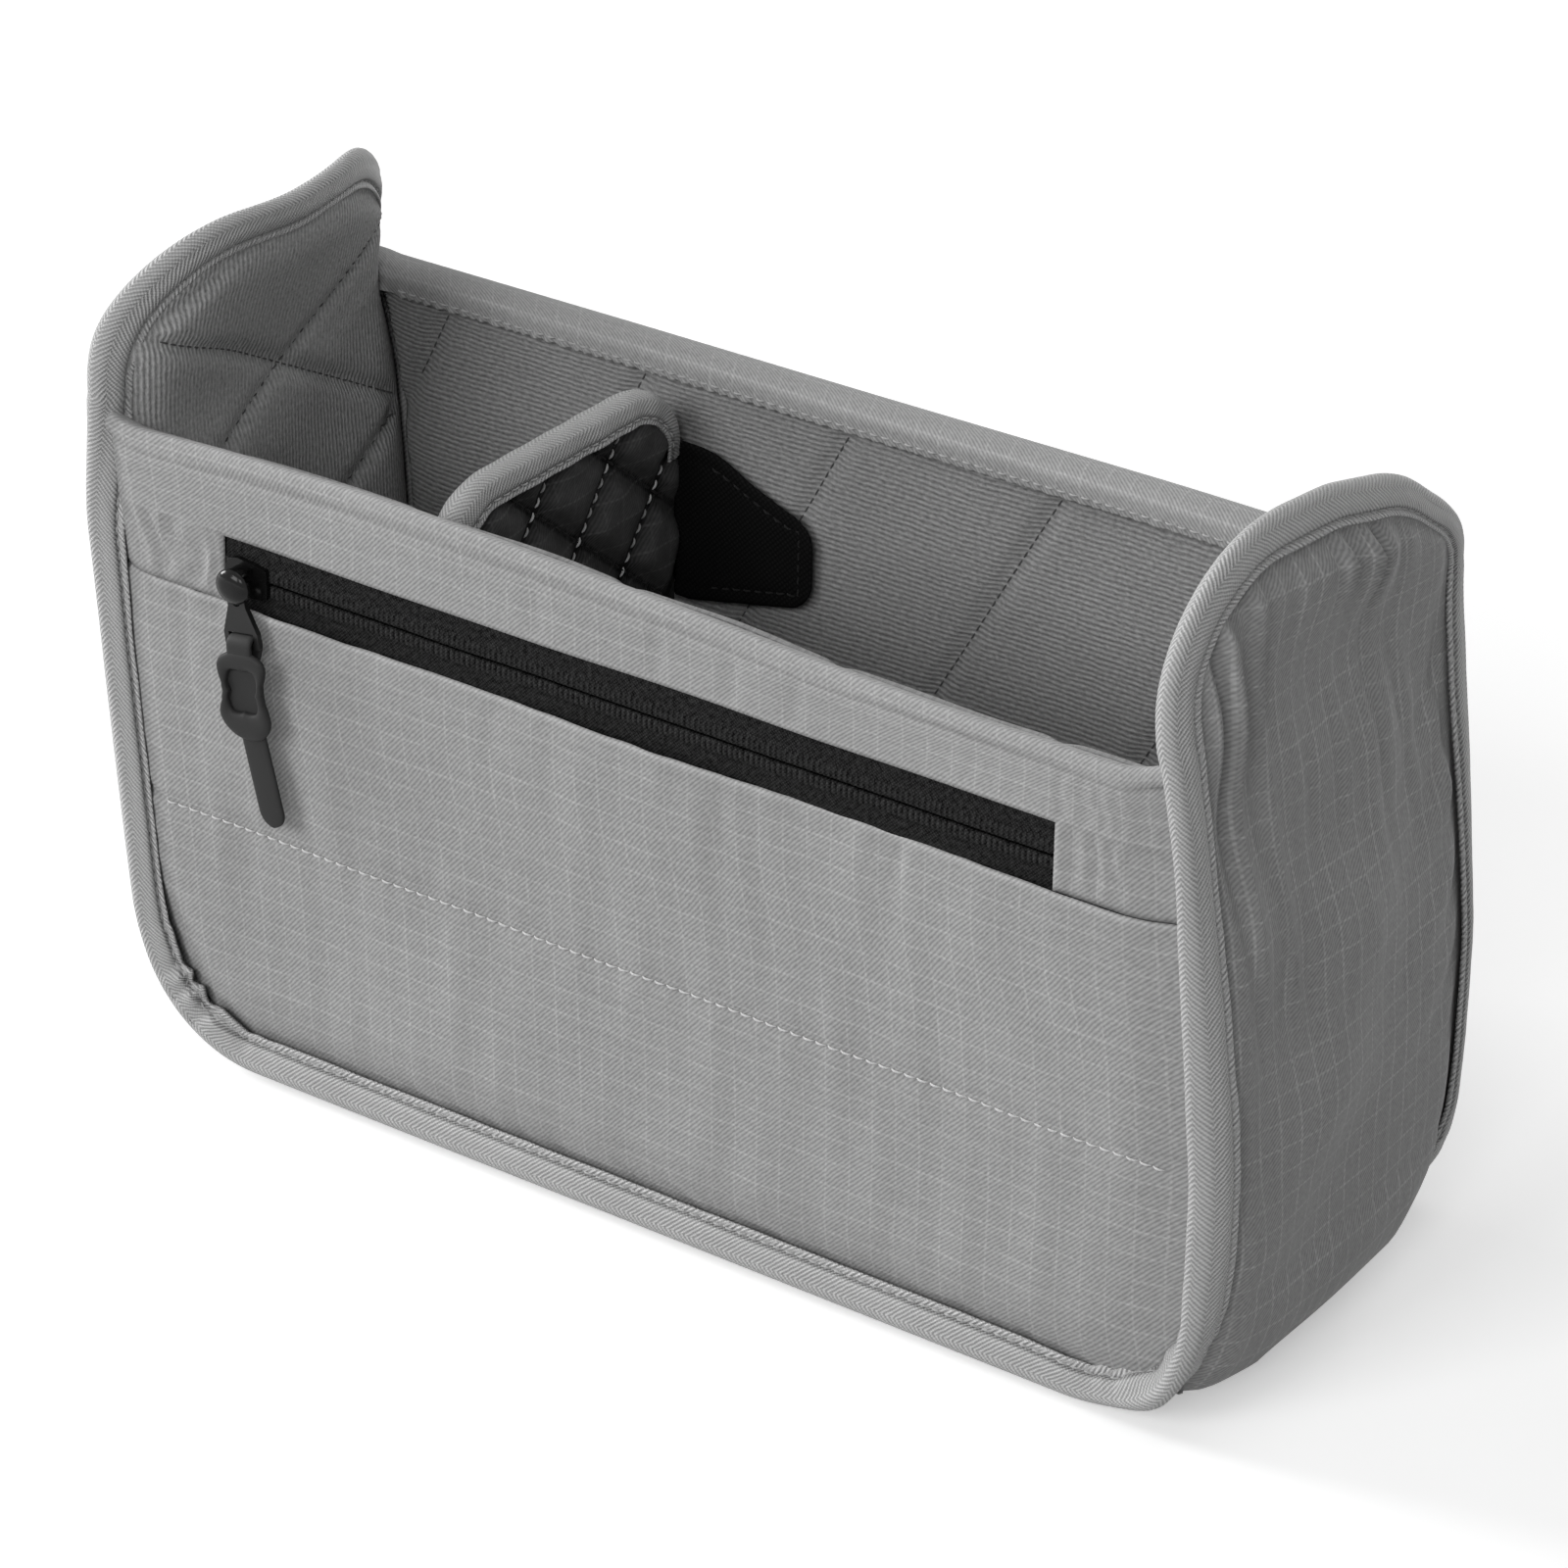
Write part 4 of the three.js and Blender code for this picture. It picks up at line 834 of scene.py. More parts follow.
def front_pocket_panel():
    x = spread(-PANEL_HALF, PANEL_HALF, 1.7, EDGE_MARKS)
    height = SEAM_Z - PANEL_FOOT
    upper = spread(30, height, 1.8, (POCKET_STITCH_Z - PANEL_FOOT,))[1:]
    tail = height - np.array([2.2, 1.4, 0.8, 0.35])
    rise = np.unique(np.round(np.concatenate([spread(0, 30, 1.6), upper, tail]), 3))
    xx, rr = cells(x, rise)
    foot = panel_foot(xx)
    stretched = foot + rr * (PANEL_FOOT + STRETCH_TO - foot) / STRETCH_TO
    zz = np.where(rr < STRETCH_TO, stretched, PANEL_FOOT + rr)
    edge = panel_edge(xx, zz)
    down = SEAM_Z - zz
    below_seam = within(down / 2.5)
    row = zz - POCKET_STITCH_Z
    sewn = 0.16 * swing(xx, 7.3, 2 * ripple(xx, zz, 13, 30)) * np.exp(-np.abs(row) / 5)
    sewn = 0.55 * bell(row, 1.1) + sewn
    hem = 0.9 * within(1 - down / 1.6) ** 2
    lazy = 0.5 * (1 + ripple(xx, zz, 12, 70, 0.5)) + 0.13 * ripple(xx, zz, 14, 11, 0.2)
    lazy = lazy * within(edge / 15)
    under_zip = swing(xx + 4 * ripple(xx, zz, 16, 26) + 0.2 * zz, 12.5)
    under_zip = 0.3 * (1 + under_zip) * (0.45 + 0.55 * ripple(xx, 0 * xx, 17, 50))
    lazy = lazy + np.maximum(under_zip, 0) * np.exp(-down / 15) * below_seam
    for at, lean, reach in FRONT_CREASES:
        crease = 0.55 * bell(xx - at + lean * down, 1.3 + 0.06 * down)
        lazy = lazy + crease * bell(down, reach) * below_seam
    tug = 0.35 * swing(xx * 0.9 + zz * 0.35, 17) * bell(down, 9) * smooth(-70, -115, xx)
    yy = FRONT + panel_dip(xx, zz, edge) + sewn + hem + lazy + np.abs(tug)
    piece = grid("pocket_front", soft(join(xx, yy, zz)), join(xx, zz), RIPSTOP, out=(0, -1, 0))
    dress(piece, ["front_pocket_panel", "front_foam"], PANEL_CLOTH)
    line = np.linspace(-PANEL_HALF + 5, PANEL_HALF - 5, 240)
    path = soft(join(line, FRONT + 0.75, POCKET_STITCH_Z + 0.12 * np.sin(line / 9)))
    stitches("pocket_stitch", [(path, (0.0, -1.0, 0.0))], PALE_THREAD, POCKET_STITCH)


def folded_rows(side, z_list):
    """Depth, height and part of a panel: its face (0), its folded top (1) and the facing inside (2)."""
    sign, face, fold, facing_foot = side
    rows = [(face, z, 0.0) for z in z_list]
    for a in np.linspace(0, math.pi, 22)[1:-1]:
        over = (1 - math.cos(a)) / 2
        height = np.interp(over, *FRONT_CREST) if side is FRONT_SIDE else math.sin(a) ** 0.5
        rows.append((face + sign * fold * over, FOLD_FOOT + FOLD_HEIGHT * height, 1.0))
    rows += [(face + sign * fold, z, 2.0) for z in np.linspace(FOLD_FOOT, facing_foot, 9)]
    return np.array(rows)


def window_relief(x, z, edge):
    """How the cloth round the zip window turns in, crumples and creases."""
    beside = np.abs(x) - ZIP_HALF
    turned = 0.95 * within(1 - np.maximum(np.maximum(beside, z - ZIP_TOP), 0) / 1.7) ** 2
    relief = np.maximum(turned, np.where(beside > 0, within(1 - (z - SEAM_Z) / 2.5), 0))
    strip = smooth(0, 4, beside) * (1 - smooth(ZIP_TOP - 1, ZIP_TOP + 1.5, z)) * within(edge / 8)
    crumple = swing(x + 1.6 * ripple(x, z, 25, 16) + 0.22 * (z - SEAM_Z), 6.2) * np.where(x < 0, 1.0, 0.5)
    relief = relief + strip * smooth(SEAM_Z, SEAM_Z + 5, z) * (0.5 + 0.6 * crumple)
    relief = relief + 0.3 * bell(z - ROLL_LINE, 0.7) * within(edge / 6)
    over_zip = smooth(ZIP_TOP + 0.5, ZIP_TOP + 3.5, z) * (1 - smooth(138, 145, z)) * within(edge / 10)
    puckers = 0.16 * (1 + swing(x + 0.8 * ripple(x, z, 26, 14), 4.3)) * smooth(64, 76, x)
    for at, lean in TOP_CREASES:
        puckers = puckers + 0.5 * bell(x - at - lean * (z - ZIP_TOP), 1.5)
    return relief + over_zip * puckers


def folded_panel(name, side, z_list, columns):
    sign, _, _, facing_foot = side
    front = side is FRONT_SIDE
    rows = folded_rows(side, z_list)
    xx, yy = cells(columns, rows[:, 0])
    flat = lengths(rows[:, :2]) + z_list[0]
    zz, part, run = (np.broadcast_to(row, xx.shape) for row in (rows[:, 1], rows[:, 2], flat))
    face = part < 0.5
    if not front:
        zz = zz + within((STRETCH_TO - zz) / (STRETCH_TO - PANEL_FOOT)) * (panel_foot(xx) - PANEL_FOOT)
    edge = panel_edge(xx, zz)
    dip = panel_dip(xx, zz, edge) * np.where(face, 1.0, np.where(part < 1.5, 0.4, -0.3))
    lazy = 0.2 * (1 + ripple(xx, run, 22 if front else 21, 60)) * within(edge / 12) * face
    down = within((FOLD_FOOT - zz) / (FOLD_FOOT - facing_foot))
    gather = swing(xx + 0.8 * ripple(xx, 0 * xx, 23, 12), 2.9) * (0.5 - 0.22 * smooth(-60, 20, xx))
    pleats = np.where(part > 0.5, gather * smooth(-0.3, 1.0, down) * (part - 0.5) / 1.5, 0)
    yy = yy + sign * (dip + lazy + pleats)
    keep = None
    if front:
        yy = yy + window_relief(xx, zz, edge) * face
        middle_x, middle_z = (columns[:-1] + columns[1:]) / 2, (rows[:-1, 1] + rows[1:, 1]) / 2
        open_row = (middle_z < ZIP_TOP) & (rows[:-1, 2] < 0.5)
        keep = ~np.outer(np.abs(middle_x) < ZIP_HALF, open_row)
    return grid(name, soft(join(xx, yy, zz)), join(xx, run), RIPSTOP, keep=keep, out=(0, -sign, 0))


def front_top_cloth():
    hem = [ZIP_TOP + d for d in WINDOW_STEPS] + [ROLL_LINE + d for d in (-1.6, -0.9, -0.4, 0.0, 0.5)]
    z = np.concatenate([np.linspace(SEAM_Z, ZIP_TOP, 9), hem, np.linspace(ZIP_TOP + 5, FOLD_FOOT, 9)])
    marks = [c * (ZIP_HALF + d) for c in (-1, 1) for d in WINDOW_STEPS]
    x = np.concatenate([
        spread(-PANEL_HALF, -ZIP_HALF, 0.8, EDGE_MARKS[:6] + marks[:6]),
        spread(-ZIP_HALF, ZIP_HALF, 1.6),
        spread(ZIP_HALF, PANEL_HALF, 0.8, EDGE_MARKS[6:] + marks[6:]),
    ])
    piece = folded_panel("front_top_cloth", FRONT_SIDE, np.unique(z), np.unique(x))
    dress(piece, ["front_top_panel"], PANEL_CLOTH)


def back_cloth():
    z = spread(PANEL_FOOT, FOLD_FOOT, 3.2, (5.0, 6.5, 8.5, 11.0))
    x = spread(-PANEL_HALF, PANEL_HALF, 0.72, EDGE_MARKS)
    piece = folded_panel("back_cloth", BACK_SIDE, z, x)
    dress(piece, ["back_panel", "back_foam"], PANEL_CLOTH)
    _, face, fold, facing_foot = BACK_SIDE
    path = soft(join(np.linspace(-PANEL_HALF + 8, PANEL_HALF - 8, 400), face - fold, facing_foot + 1.5))
    stitches("facing_stitch", [(path, (0.0, -1.0, 0.0))], GREY_THREAD, FACING_STITCH)


def flat_lining(name, face, sign, node, seed):
    """The quilted lining of a panel; sign is the way its seams sink."""
    half = WALL_X - WALL_THICKNESS + 1.0
    xx, zz = cells(spread(-half, half, 1.3), spread(LINING_FOOT, LINING_TOP, 1.3))
    puff = quilt_relief(xx - PANEL_QUILT_X, zz - PANEL_QUILT_Z, *PANEL_QUILT, both=False)
    edge = np.minimum(half - np.abs(xx), np.minimum(zz - LINING_FOOT, LINING_TOP - zz + 6))
    sink = QUILT_DEPTH * (1 - puff) + 0.25 * ripple(xx, zz, seed, 45) + 1.6 * within(1 - edge / 9) ** 2
    points = soft(join(xx, face + sign * sink, zz))
    piece = grid(name, points, join(xx, zz), LINING, out=(0, -sign, 0))
    dress(piece, [node], LINING_CLOTH)
    z = np.linspace(12, 141, 200)
    rows = []
    for k in range(-6, 7):
        x = PANEL_QUILT_X + PANEL_QUILT[0] * (k + (z - PANEL_QUILT_Z) / PANEL_QUILT[1])
        inside = np.abs(x) < half - 5
        if inside.sum() > 12:
            y = face + sign * (QUILT_DEPTH + 0.25 * ripple(x, z, seed, 45))
            rows.append((soft(join(x, y, z))[inside], (0.0, -sign, 0.0)))
    stitches(name + "_quilting", rows, SEAM_THREAD, LINING_STITCH)


front_pocket_panel()
front_top_cloth()
back_cloth()
flat_lining("front_lining_cloth", FRONT_LINING_Y, -1.0, "front_lining", 31)
flat_lining("back_lining_cloth", BACK_LINING_Y, 1.0, "back_lining", 32)


# The folded tape over the whole edge

TAPE_LEG = 8.2
TAPE_THICKNESS = 0.85
SEWN_COLUMN = 4
LOOP_FOOT = 1.2
FOOT_Y = FRONT + 0.3
ARCH_X = 129.1
LOOP_X, LOOP_Y = 136.4, FRONT - 0.5
RIGHT_LOOP_X, RIGHT_LOOP_Y = 131.6, FRONT - 0.8
LEFT_TILT, RIGHT_TILT, FOOT_TILT = 53.0, 10.0, 60.0
LEFT_BUNCH = 2.3
TAPE_ROWS = 960


def side_path(out_x, out_y, tilt):
    """The tape's fold line from the top of the right arch down its front edge to the middle of the base.

    Each row: place, the way out of the edge, the way out of the wall, and the tilt between them in degrees.
    """
    radius = ARCH_RADIUS + 2.3
    y0, top = FRONT - 0.8, ARCH_TOP + 1.3
    corner = 32.0 - 0.7 * (LOOP_X - out_x)
    rows = [(ARCH_X, y, top, 0, 0, 1, 1, 0, 0, 0) for y in np.linspace(MIDDLE, y0 + radius, 12)[:-1]]
    for a in np.linspace(0, math.pi / 2, 26):
        ey, ez = -math.sin(a), math.cos(a)
        rows.append((ARCH_X, y0 + radius + radius * ey, top - radius + radius * ez, 0, ey, ez, 1, 0, 0, 0))
    for z in np.linspace(top - radius, LOOP_FOOT + corner, 60)[1:]:
        turn = 1 - smooth(118, 158, z)
        place = (ARCH_X + (out_x - ARCH_X) * turn, y0 + (out_y - y0) * turn, z)
        rows.append((*place, 0, -1, 0, 1, 0, 0, tilt * turn))
    for a in np.linspace(0, math.pi / 2, 26)[1:]:
        nx, nz = math.cos(a), -math.sin(a)
        share = a / (math.pi / 2)
        y = out_y + (FOOT_Y - out_y) * share
        place = (out_x - corner + corner * nx, y, LOOP_FOOT + corner + corner * nz)
        rows.append((*place, 0, -1, 0, nx, 0, nz, tilt + (FOOT_TILT - tilt) * share))
    for x in np.linspace(out_x - corner, 0, 50)[1:]:
        rows.append((x, FOOT_Y, LOOP_FOOT, 0, -1, 0, 0, 0, -1, FOOT_TILT))
    return np.array(rows, float)


def whole_loop():
    """The fold line along the front, from the right arch to the left one, and back along the back."""
    left = side_path(LOOP_X, LOOP_Y, LEFT_TILT)[-2::-1]
    left[:, [0, 6]] *= -1
    front = np.vstack([side_path(RIGHT_LOOP_X, RIGHT_LOOP_Y, RIGHT_TILT), left])
    back = front[::-1].copy()
    back[:, 1] = 2 * MIDDLE - back[:, 1]
    back[:, 4] *= -1
    return np.vstack([front[:-1], back[:-1], front[:1]])


def tape_section(grip):
    """Half of the folded section, lip to nose: distance in from the nose, distance out from the middle."""
    inward = np.array([8.2, 7.95, 7.5, 7.0, 6.6, 6.25, 5.8, 5.0, 4.2, 3.2])
    nose, lip = 2.35 - 0.1 * grip, 3.35 + 0.5 * grip
    out = nose + (lip - nose) * (inward - nose) / (TAPE_LEG - nose)
    out = out + 0.5 * bell(inward - 4.4, 1.7) - 0.85 * bell(inward - 6.6, 0.42)
    out[0] -= 0.3
    a = np.radians([0, 22, 45, 68, 90])
    return np.concatenate([inward, nose - nose * np.sin(a)]), np.concatenate([out, nose * np.cos(a)])


def closed_section(f, g):
    """A folded tape's whole section from its outer half, and the flat distance round it from the nose."""
    inner_f, inner_g = f[:-2] + 0.1, np.maximum(g[:-2] - TAPE_THICKNESS, 0.2)
    ff = np.concatenate([f, f[-2::-1], inner_f, [f[-1] + 0.9], inner_f[::-1]])
    gg = np.concatenate([g, -g[-2::-1], -inner_g, [0.0], inner_g[::-1]])
    line = lengths(join(ff, gg))
    return ff, gg, np.append(line, line[-1] + 0.9) - line[len(f) - 1]


def edge_tape():
    loop = whole_loop()
    along = lengths(loop[:, :3])
    rows = resample(np.linspace(0, along[-1], TAPE_ROWS + 1)[:-1], along, loop)
    centre = rows[:, :3]
    tilt = np.radians(rows[:, 9])[:, None]
    outward = unit(np.cos(tilt) * unit(rows[:, 3:6]) + np.sin(tilt) * unit(rows[:, 6:9]))
    ahead = unit(np.roll(centre, -1, 0) - np.roll(centre, 1, 0))
    side = unit(np.cross(ahead, outward))
    outward = unit(np.cross(side, ahead))
    grip = within(rows[:, 9] / 45)
    run = lengths(np.vstack([centre, centre[:1]]))
    s = run[:-1]
    wobble = 0.16 * ripple(s, 0 * s, 41, 26) + 0.08 * ripple(s, 0 * s, 42, 8)
    bunch = bell(np.hypot(np.abs(rows[:, 0]) - 124, rows[:, 2] - 10), 15)
    bunch = bunch * swing(s, 9.5, 1.2 * ripple(s, 0 * s, 43, 20))
    bunch = bunch * np.where(rows[:, 0] < 0, LEFT_BUNCH, 1.0)
    skins, cloths = [], []
    for row in range(TAPE_ROWS):
        f, g = tape_section(grip[row])
        g = g * (1 + 0.10 * wobble[row] + 0.2 * bunch[row] * within(f / 4))
        f = f + 0.35 * wobble[row] * (f > 7) + 0.5 * bunch[row] * (f > 2)
        ff, gg, line = closed_section(f, g)
        skins.append(centre[row] - np.outer(ff, outward[row]) + np.outer(gg, side[row]))
        cloths.append(join(line, run[row]))
    points = soft(np.array(skins))
    cloth = np.array(cloths + [cloths[0] + np.array([0, run[-1]])])
    piece = grid("edge_tape", points, cloth, TAPE, wrap=True, across=True)
    dress(piece, ["edge_binding"])
    other = 2 * len(f) - 2 - SEWN_COLUMN
    rows = (("edge_stitch_front", SEWN_COLUMN, 1.0), ("edge_stitch_wall", other, -1.0))
    for name, column, sign in rows:
        path = np.vstack([points[:, column], points[:1, column]])
        normals = np.vstack([side, side[:1]]) * sign
        stitches(name, [(path, normals)], GREY_THREAD, EDGE_STITCH)


edge_tape()


# Zip tapes, coil and pocket liner

ZIP_FACE = -49.05
ZIP_COLUMNS = (
    0.28, 0.32, 0.5, 0.85, 1.3, 1.8, 2.3, 2.7, 2.95, 3.15, 3.5, 4.5, 6.0, 7.6, 9.5, 12.0, 15.6,
)
COIL_DEPTH = -47.3
COIL_END = ZIP_HALF - 2
POCKET_BAG_Y = -48.2


def zip_tape(name, sign, node):
    """One side of the zip's tape, ribbed over the coil that lies behind it."""
    x = np.linspace(-ZIP_HALF - 9, ZIP_HALF + 9, 640)
    xx, oo = cells(x, ZIP_COLUMNS)
    band = within(1 - ((oo - 1.65) / 1.55) ** 2) ** 0.5
    tooth = swing(xx + (COIL_PITCH / 2 if sign > 0 else 0.0), COIL_PITCH)
    rise = 0.62 * band + 0.16 * tooth * band
    lip = np.where(oo < 0.3, 0.7, 0.0)
    stitch = 0.14 * bell(oo - 2.9, 0.25) * swing(xx, COIL_PITCH)
    yy = ZIP_FACE - rise + lip + stitch + 0.06 * ripple(xx, oo, 51, 30) + 0.9 * smooth(6.0, 9.0, oo)
    yy = yy + (1.1 + rise) * smooth(ZIP_HALF - 0.8, ZIP_HALF + 1.2, np.abs(xx))
    piece = grid(name, join(xx, yy, ZIP_MID + sign * oo), join(xx, sign * oo), ZIPPER, out=(0, -1, 0))
    dress(piece, [node], ZIP_CLOTH)


def coil(name, sign, node):
    """One row of the zip's coil, wound behind its tape."""
    turns = np.arange(0, 2 * COIL_END / COIL_PITCH, 1 / 10)
    a = turns * 2 * math.pi
    y, z = COIL_DEPTH + 0.75 * np.sin(a), ZIP_MID + sign * (1.55 + 1.15 * np.cos(a))
    path = join(turns * COIL_PITCH - COIL_END, y, z)
    ahead = unit(np.gradient(path, axis=0))
    one = unit(np.cross(ahead, (1.0, 0.0, 0.0)))
    two = unit(np.cross(ahead, one))
    ring = np.linspace(0, 2 * math.pi, 5, endpoint=False)
    points = np.stack([path + 0.28 * (math.cos(b) * one + math.sin(b) * two) for b in ring], 1)
    cloth = join(*cells(np.arange(len(path)) * 0.4, np.arange(6) * 0.35))
    dress(grid(name, points, cloth, ZIPPER, across=True), [node])


def pocket_bag():
    xx, zz = cells(spread(-PANEL_HALF + 10, PANEL_HALF - 10, 5.0), spread(61.5, 135.0, 3.0))
    hang = smooth(61, 72, zz) * (1 - smooth(124, 134, zz))
    yy = POCKET_BAG_Y + 3.2 * hang + 0.25 * ripple(xx, zz, 61, 30) * hang
    piece = grid("pocket_bag", soft(join(xx, yy, zz)), join(xx, zz), POCKET, out=(0, -1, 0))
    dress(piece, ["pocket_liner"], POCKET_CLOTH)


zip_tape("zip_tape_top", 1.0, "zip_tape_upper")
zip_tape("zip_tape_foot", -1.0, "zip_tape_lower")
coil("zip_coil_top", 1.0, "zip_coil_upper")
coil("zip_coil_foot", -1.0, "zip_coil_lower")
pocket_bag()


# The divider

DIVIDER_X = -56.5
DIVIDER_FRONT, DIVIDER_BACK = -39.05, 45.05
DIVIDER_FOOT, DIVIDER_TOP = 11.8, 143.2
DIVIDER_RADIUS = 19.0
DIVIDER_HALF = 3.6
DIVIDER_SEAM = 0.4
DIVIDER_PUFF = 2.5
RIM_FOOT = 128.6
RIM_NOSE, RIM_DEPTH, RIM_LIP = 2.9, 6.4, 4.2


def divider_edge(y, z):
    """Distance in from the divider's outline."""
    half = (DIVIDER_BACK - DIVIDER_FRONT) / 2
    aside = np.abs(y - (DIVIDER_FRONT + DIVIDER_BACK) / 2)
    qy, qz = aside - (half - DIVIDER_RADIUS), z - (DIVIDER_TOP - DIVIDER_RADIUS)
    corner = DIVIDER_RADIUS - np.hypot(qy, qz)
    straight = np.minimum(half - aside, np.minimum(z - DIVIDER_FOOT, DIVIDER_TOP - z))
    return np.where((qy > 0) & (qz > 0), corner, straight)


def quilt_gap(y, z, angle, pitch, start):
    """Distance from the nearest of a set of slanting quilt lines."""
    across = y * abs(math.sin(angle)) - z * math.copysign(math.cos(angle), angle) - start
    return np.abs(across - np.round(across / pitch) * pitch)


def divider_depth(y, z):
    """How far a face stands out from the divider's middle."""
    gap = np.minimum(quilt_gap(y, z, *PALE_LINES), quilt_gap(y, z, *DARK_LINES))
    rolled = np.sqrt(within(1 - within(1 - divider_edge(y, z) / 5.0) ** 2))
    wrinkle = 0.16 * ripple(y, z, 71, 9) * (1 - bell(gap, 2.0))
    full = DIVIDER_HALF - DIVIDER_PUFF * bell(gap, 3.2) + wrinkle
    return DIVIDER_SEAM + (full - DIVIDER_SEAM) * rolled


def divider_face(name, sign, nodes):
    yy, share = cells(spread(DIVIDER_FRONT, DIVIDER_BACK, 1.25), np.linspace(0, 1, 104))
    crown = arched(yy, DIVIDER_FRONT, DIVIDER_BACK, DIVIDER_TOP, DIVIDER_RADIUS)
    zz = DIVIDER_FOOT + share * (crown - DIVIDER_FOOT)
    points = join(DIVIDER_X + sign * divider_depth(yy, zz), yy, zz)
    piece = grid(name, points, join(yy, zz), QUILT, body="divider", out=(sign, 0, 0))
    dress(piece, nodes, QUILT_CLOTH)


def divider_quilting(name, sign, skin, angle, pitch, start):
    """Running stitches down one set of the quilt's slanting lines."""
    rows = []
    t = np.linspace(-200, 200, 1000)
    for k in range(-12, 13):
        level = k * pitch + start
        y = level * abs(math.sin(angle)) + t * math.cos(angle)
        z = t * math.sin(angle) - level * math.copysign(math.cos(angle), angle)
        inside = divider_edge(y, z) > 4.0
        if inside.sum() > 20:
            y, z = y[inside], z[inside]
            rows.append((join(DIVIDER_X + sign * divider_depth(y, z), y, z), (sign, 0.0, 0.0)))
    stitches(name, rows, skin, QUILT_STITCH, "divider")


def divider_rim():
    """The folded tape over the divider's top edge and its rounded corners."""
    radius = DIVIDER_RADIUS + 1.0
    y0, y1, top = DIVIDER_FRONT - 0.6, DIVIDER_BACK + 0.6, DIVIDER_TOP + 1.2
    rows = [(y0, z, -1.0, 0.0) for z in np.linspace(RIM_FOOT - 4, top - radius, 8)[:-1]]
    for a in np.linspace(0, math.pi / 2, 24):
        c, s = math.cos(a), math.sin(a)
        rows.append((y0 + radius - radius * c, top - radius + radius * s, -c, s))
    rows += [(y, top, 0.0, 1.0) for y in np.linspace(y0 + radius, y1 - radius, 30)[1:-1]]
    for a in np.linspace(math.pi / 2, 0, 24):
        c, s = math.cos(a), math.sin(a)
        rows.append((y1 - radius + radius * c, top - radius + radius * s, c, s))
    rows += [(y1, z, 1.0, 0.0) for z in np.linspace(top - radius, RIM_FOOT - 4, 8)[1:]]
    rows = np.array(rows)
    run = lengths(rows[:, :2])
    s = np.linspace(0, run[-1], 120)
    rows = resample(s, run, rows)
    out = unit(rows[:, 2:4])
    f = np.array([6.4, 6.2, 5.8, 5.4, 5.1, 4.8, 4.4, 3.9, 3.4])
    g = RIM_NOSE + 0.4 + (RIM_LIP - RIM_NOSE - 0.4) * (f - RIM_NOSE) / (RIM_DEPTH - RIM_NOSE)
    g = g - 0.3 * bell(f - 5.1, 0.35) + 0.25 * bell(f - 3.6, 1.0)
    a = np.radians([5, 25, 45, 66, 90])
    f = np.concatenate([f, RIM_NOSE - RIM_NOSE * np.sin(a)])
    g = np.concatenate([g, (RIM_NOSE + 0.5) * np.cos(a)])
    ff, gg, line = closed_section(f, g)
    taper = smooth(0, 10, s) * smooth(0, 10, s[-1] - s) * 0.25 + 0.75
    scale = (1 + 0.03 * ripple(s, 0 * s, 81, 12)) * taper
    y, z = (rows[:, c, None] - ff * out[:, c, None] for c in (0, 1))
    points = join(DIVIDER_X + gg * scale[:, None], y, z)
    cloth = join(*cells(s, line))[..., ::-1]
    piece = grid("divider_rim_tape", points, cloth, RIM_TAPE, body="divider", across=True)
    dress(piece, ["divider_binding"])
    other = 2 * len(f) - 2 - SEWN_COLUMN
    for name, column, sign in (("rim_stitch_right", SEWN_COLUMN, 1.0), ("rim_stitch_left", other, -1.0)):
        row = (points[:, column], (sign, 0.0, 0.0))
        stitches(name, [row], GREY_THREAD, RIM_STITCH, "divider")


divider_face("divider_left", -1.0, ["divider_face_left"])
divider_face("divider_right", 1.0, ["divider_face_right", "divider_foam"])
for way, side_name in ((1.0, "right"), (-1.0, "left")):
    divider_quilting(f"quilt_{side_name}_pale", way, PALE_THREAD, *PALE_LINES)
    divider_quilting(f"quilt_{side_name}_dark", way, DARK_THREAD, *DARK_LINES)
divider_rim()


# The divider's two flaps

FLAP_ROOT, FLAP_TIP = -51.4, -19.4
FLAP_SEWN = -55.2
FLAP_CORNER = 6.0
FLAP_SHOULDER = FLAP_TIP - FLAP_CORNER
BACK_FLAP_Y, FRONT_FLAP_Y = 43.65, -37.65
STITCH_INSET, HOOK_INSET = 3.4, 3.0


def flap_span(x):
    """Lower and upper edge of a flap at a place along it."""
    share = within((x - FLAP_ROOT) / (FLAP_TIP - FLAP_ROOT))
    low, high = 91 + 7 * share, 128 - 10 * smooth(0.0, 1.0, share)
    over = np.clip(x - FLAP_SHOULDER, 0, FLAP_CORNER)
    cut = FLAP_CORNER - np.sqrt(np.maximum(FLAP_CORNER**2 - over**2, 0))
    return low + cut, high - cut


def inset_height(x, share, inset):
    """Height at a share of the way up a flap, inside its border."""
    low, high = flap_span(np.minimum(x, FLAP_SHOULDER))
    return low + inset + share * (high - low - 2 * inset)


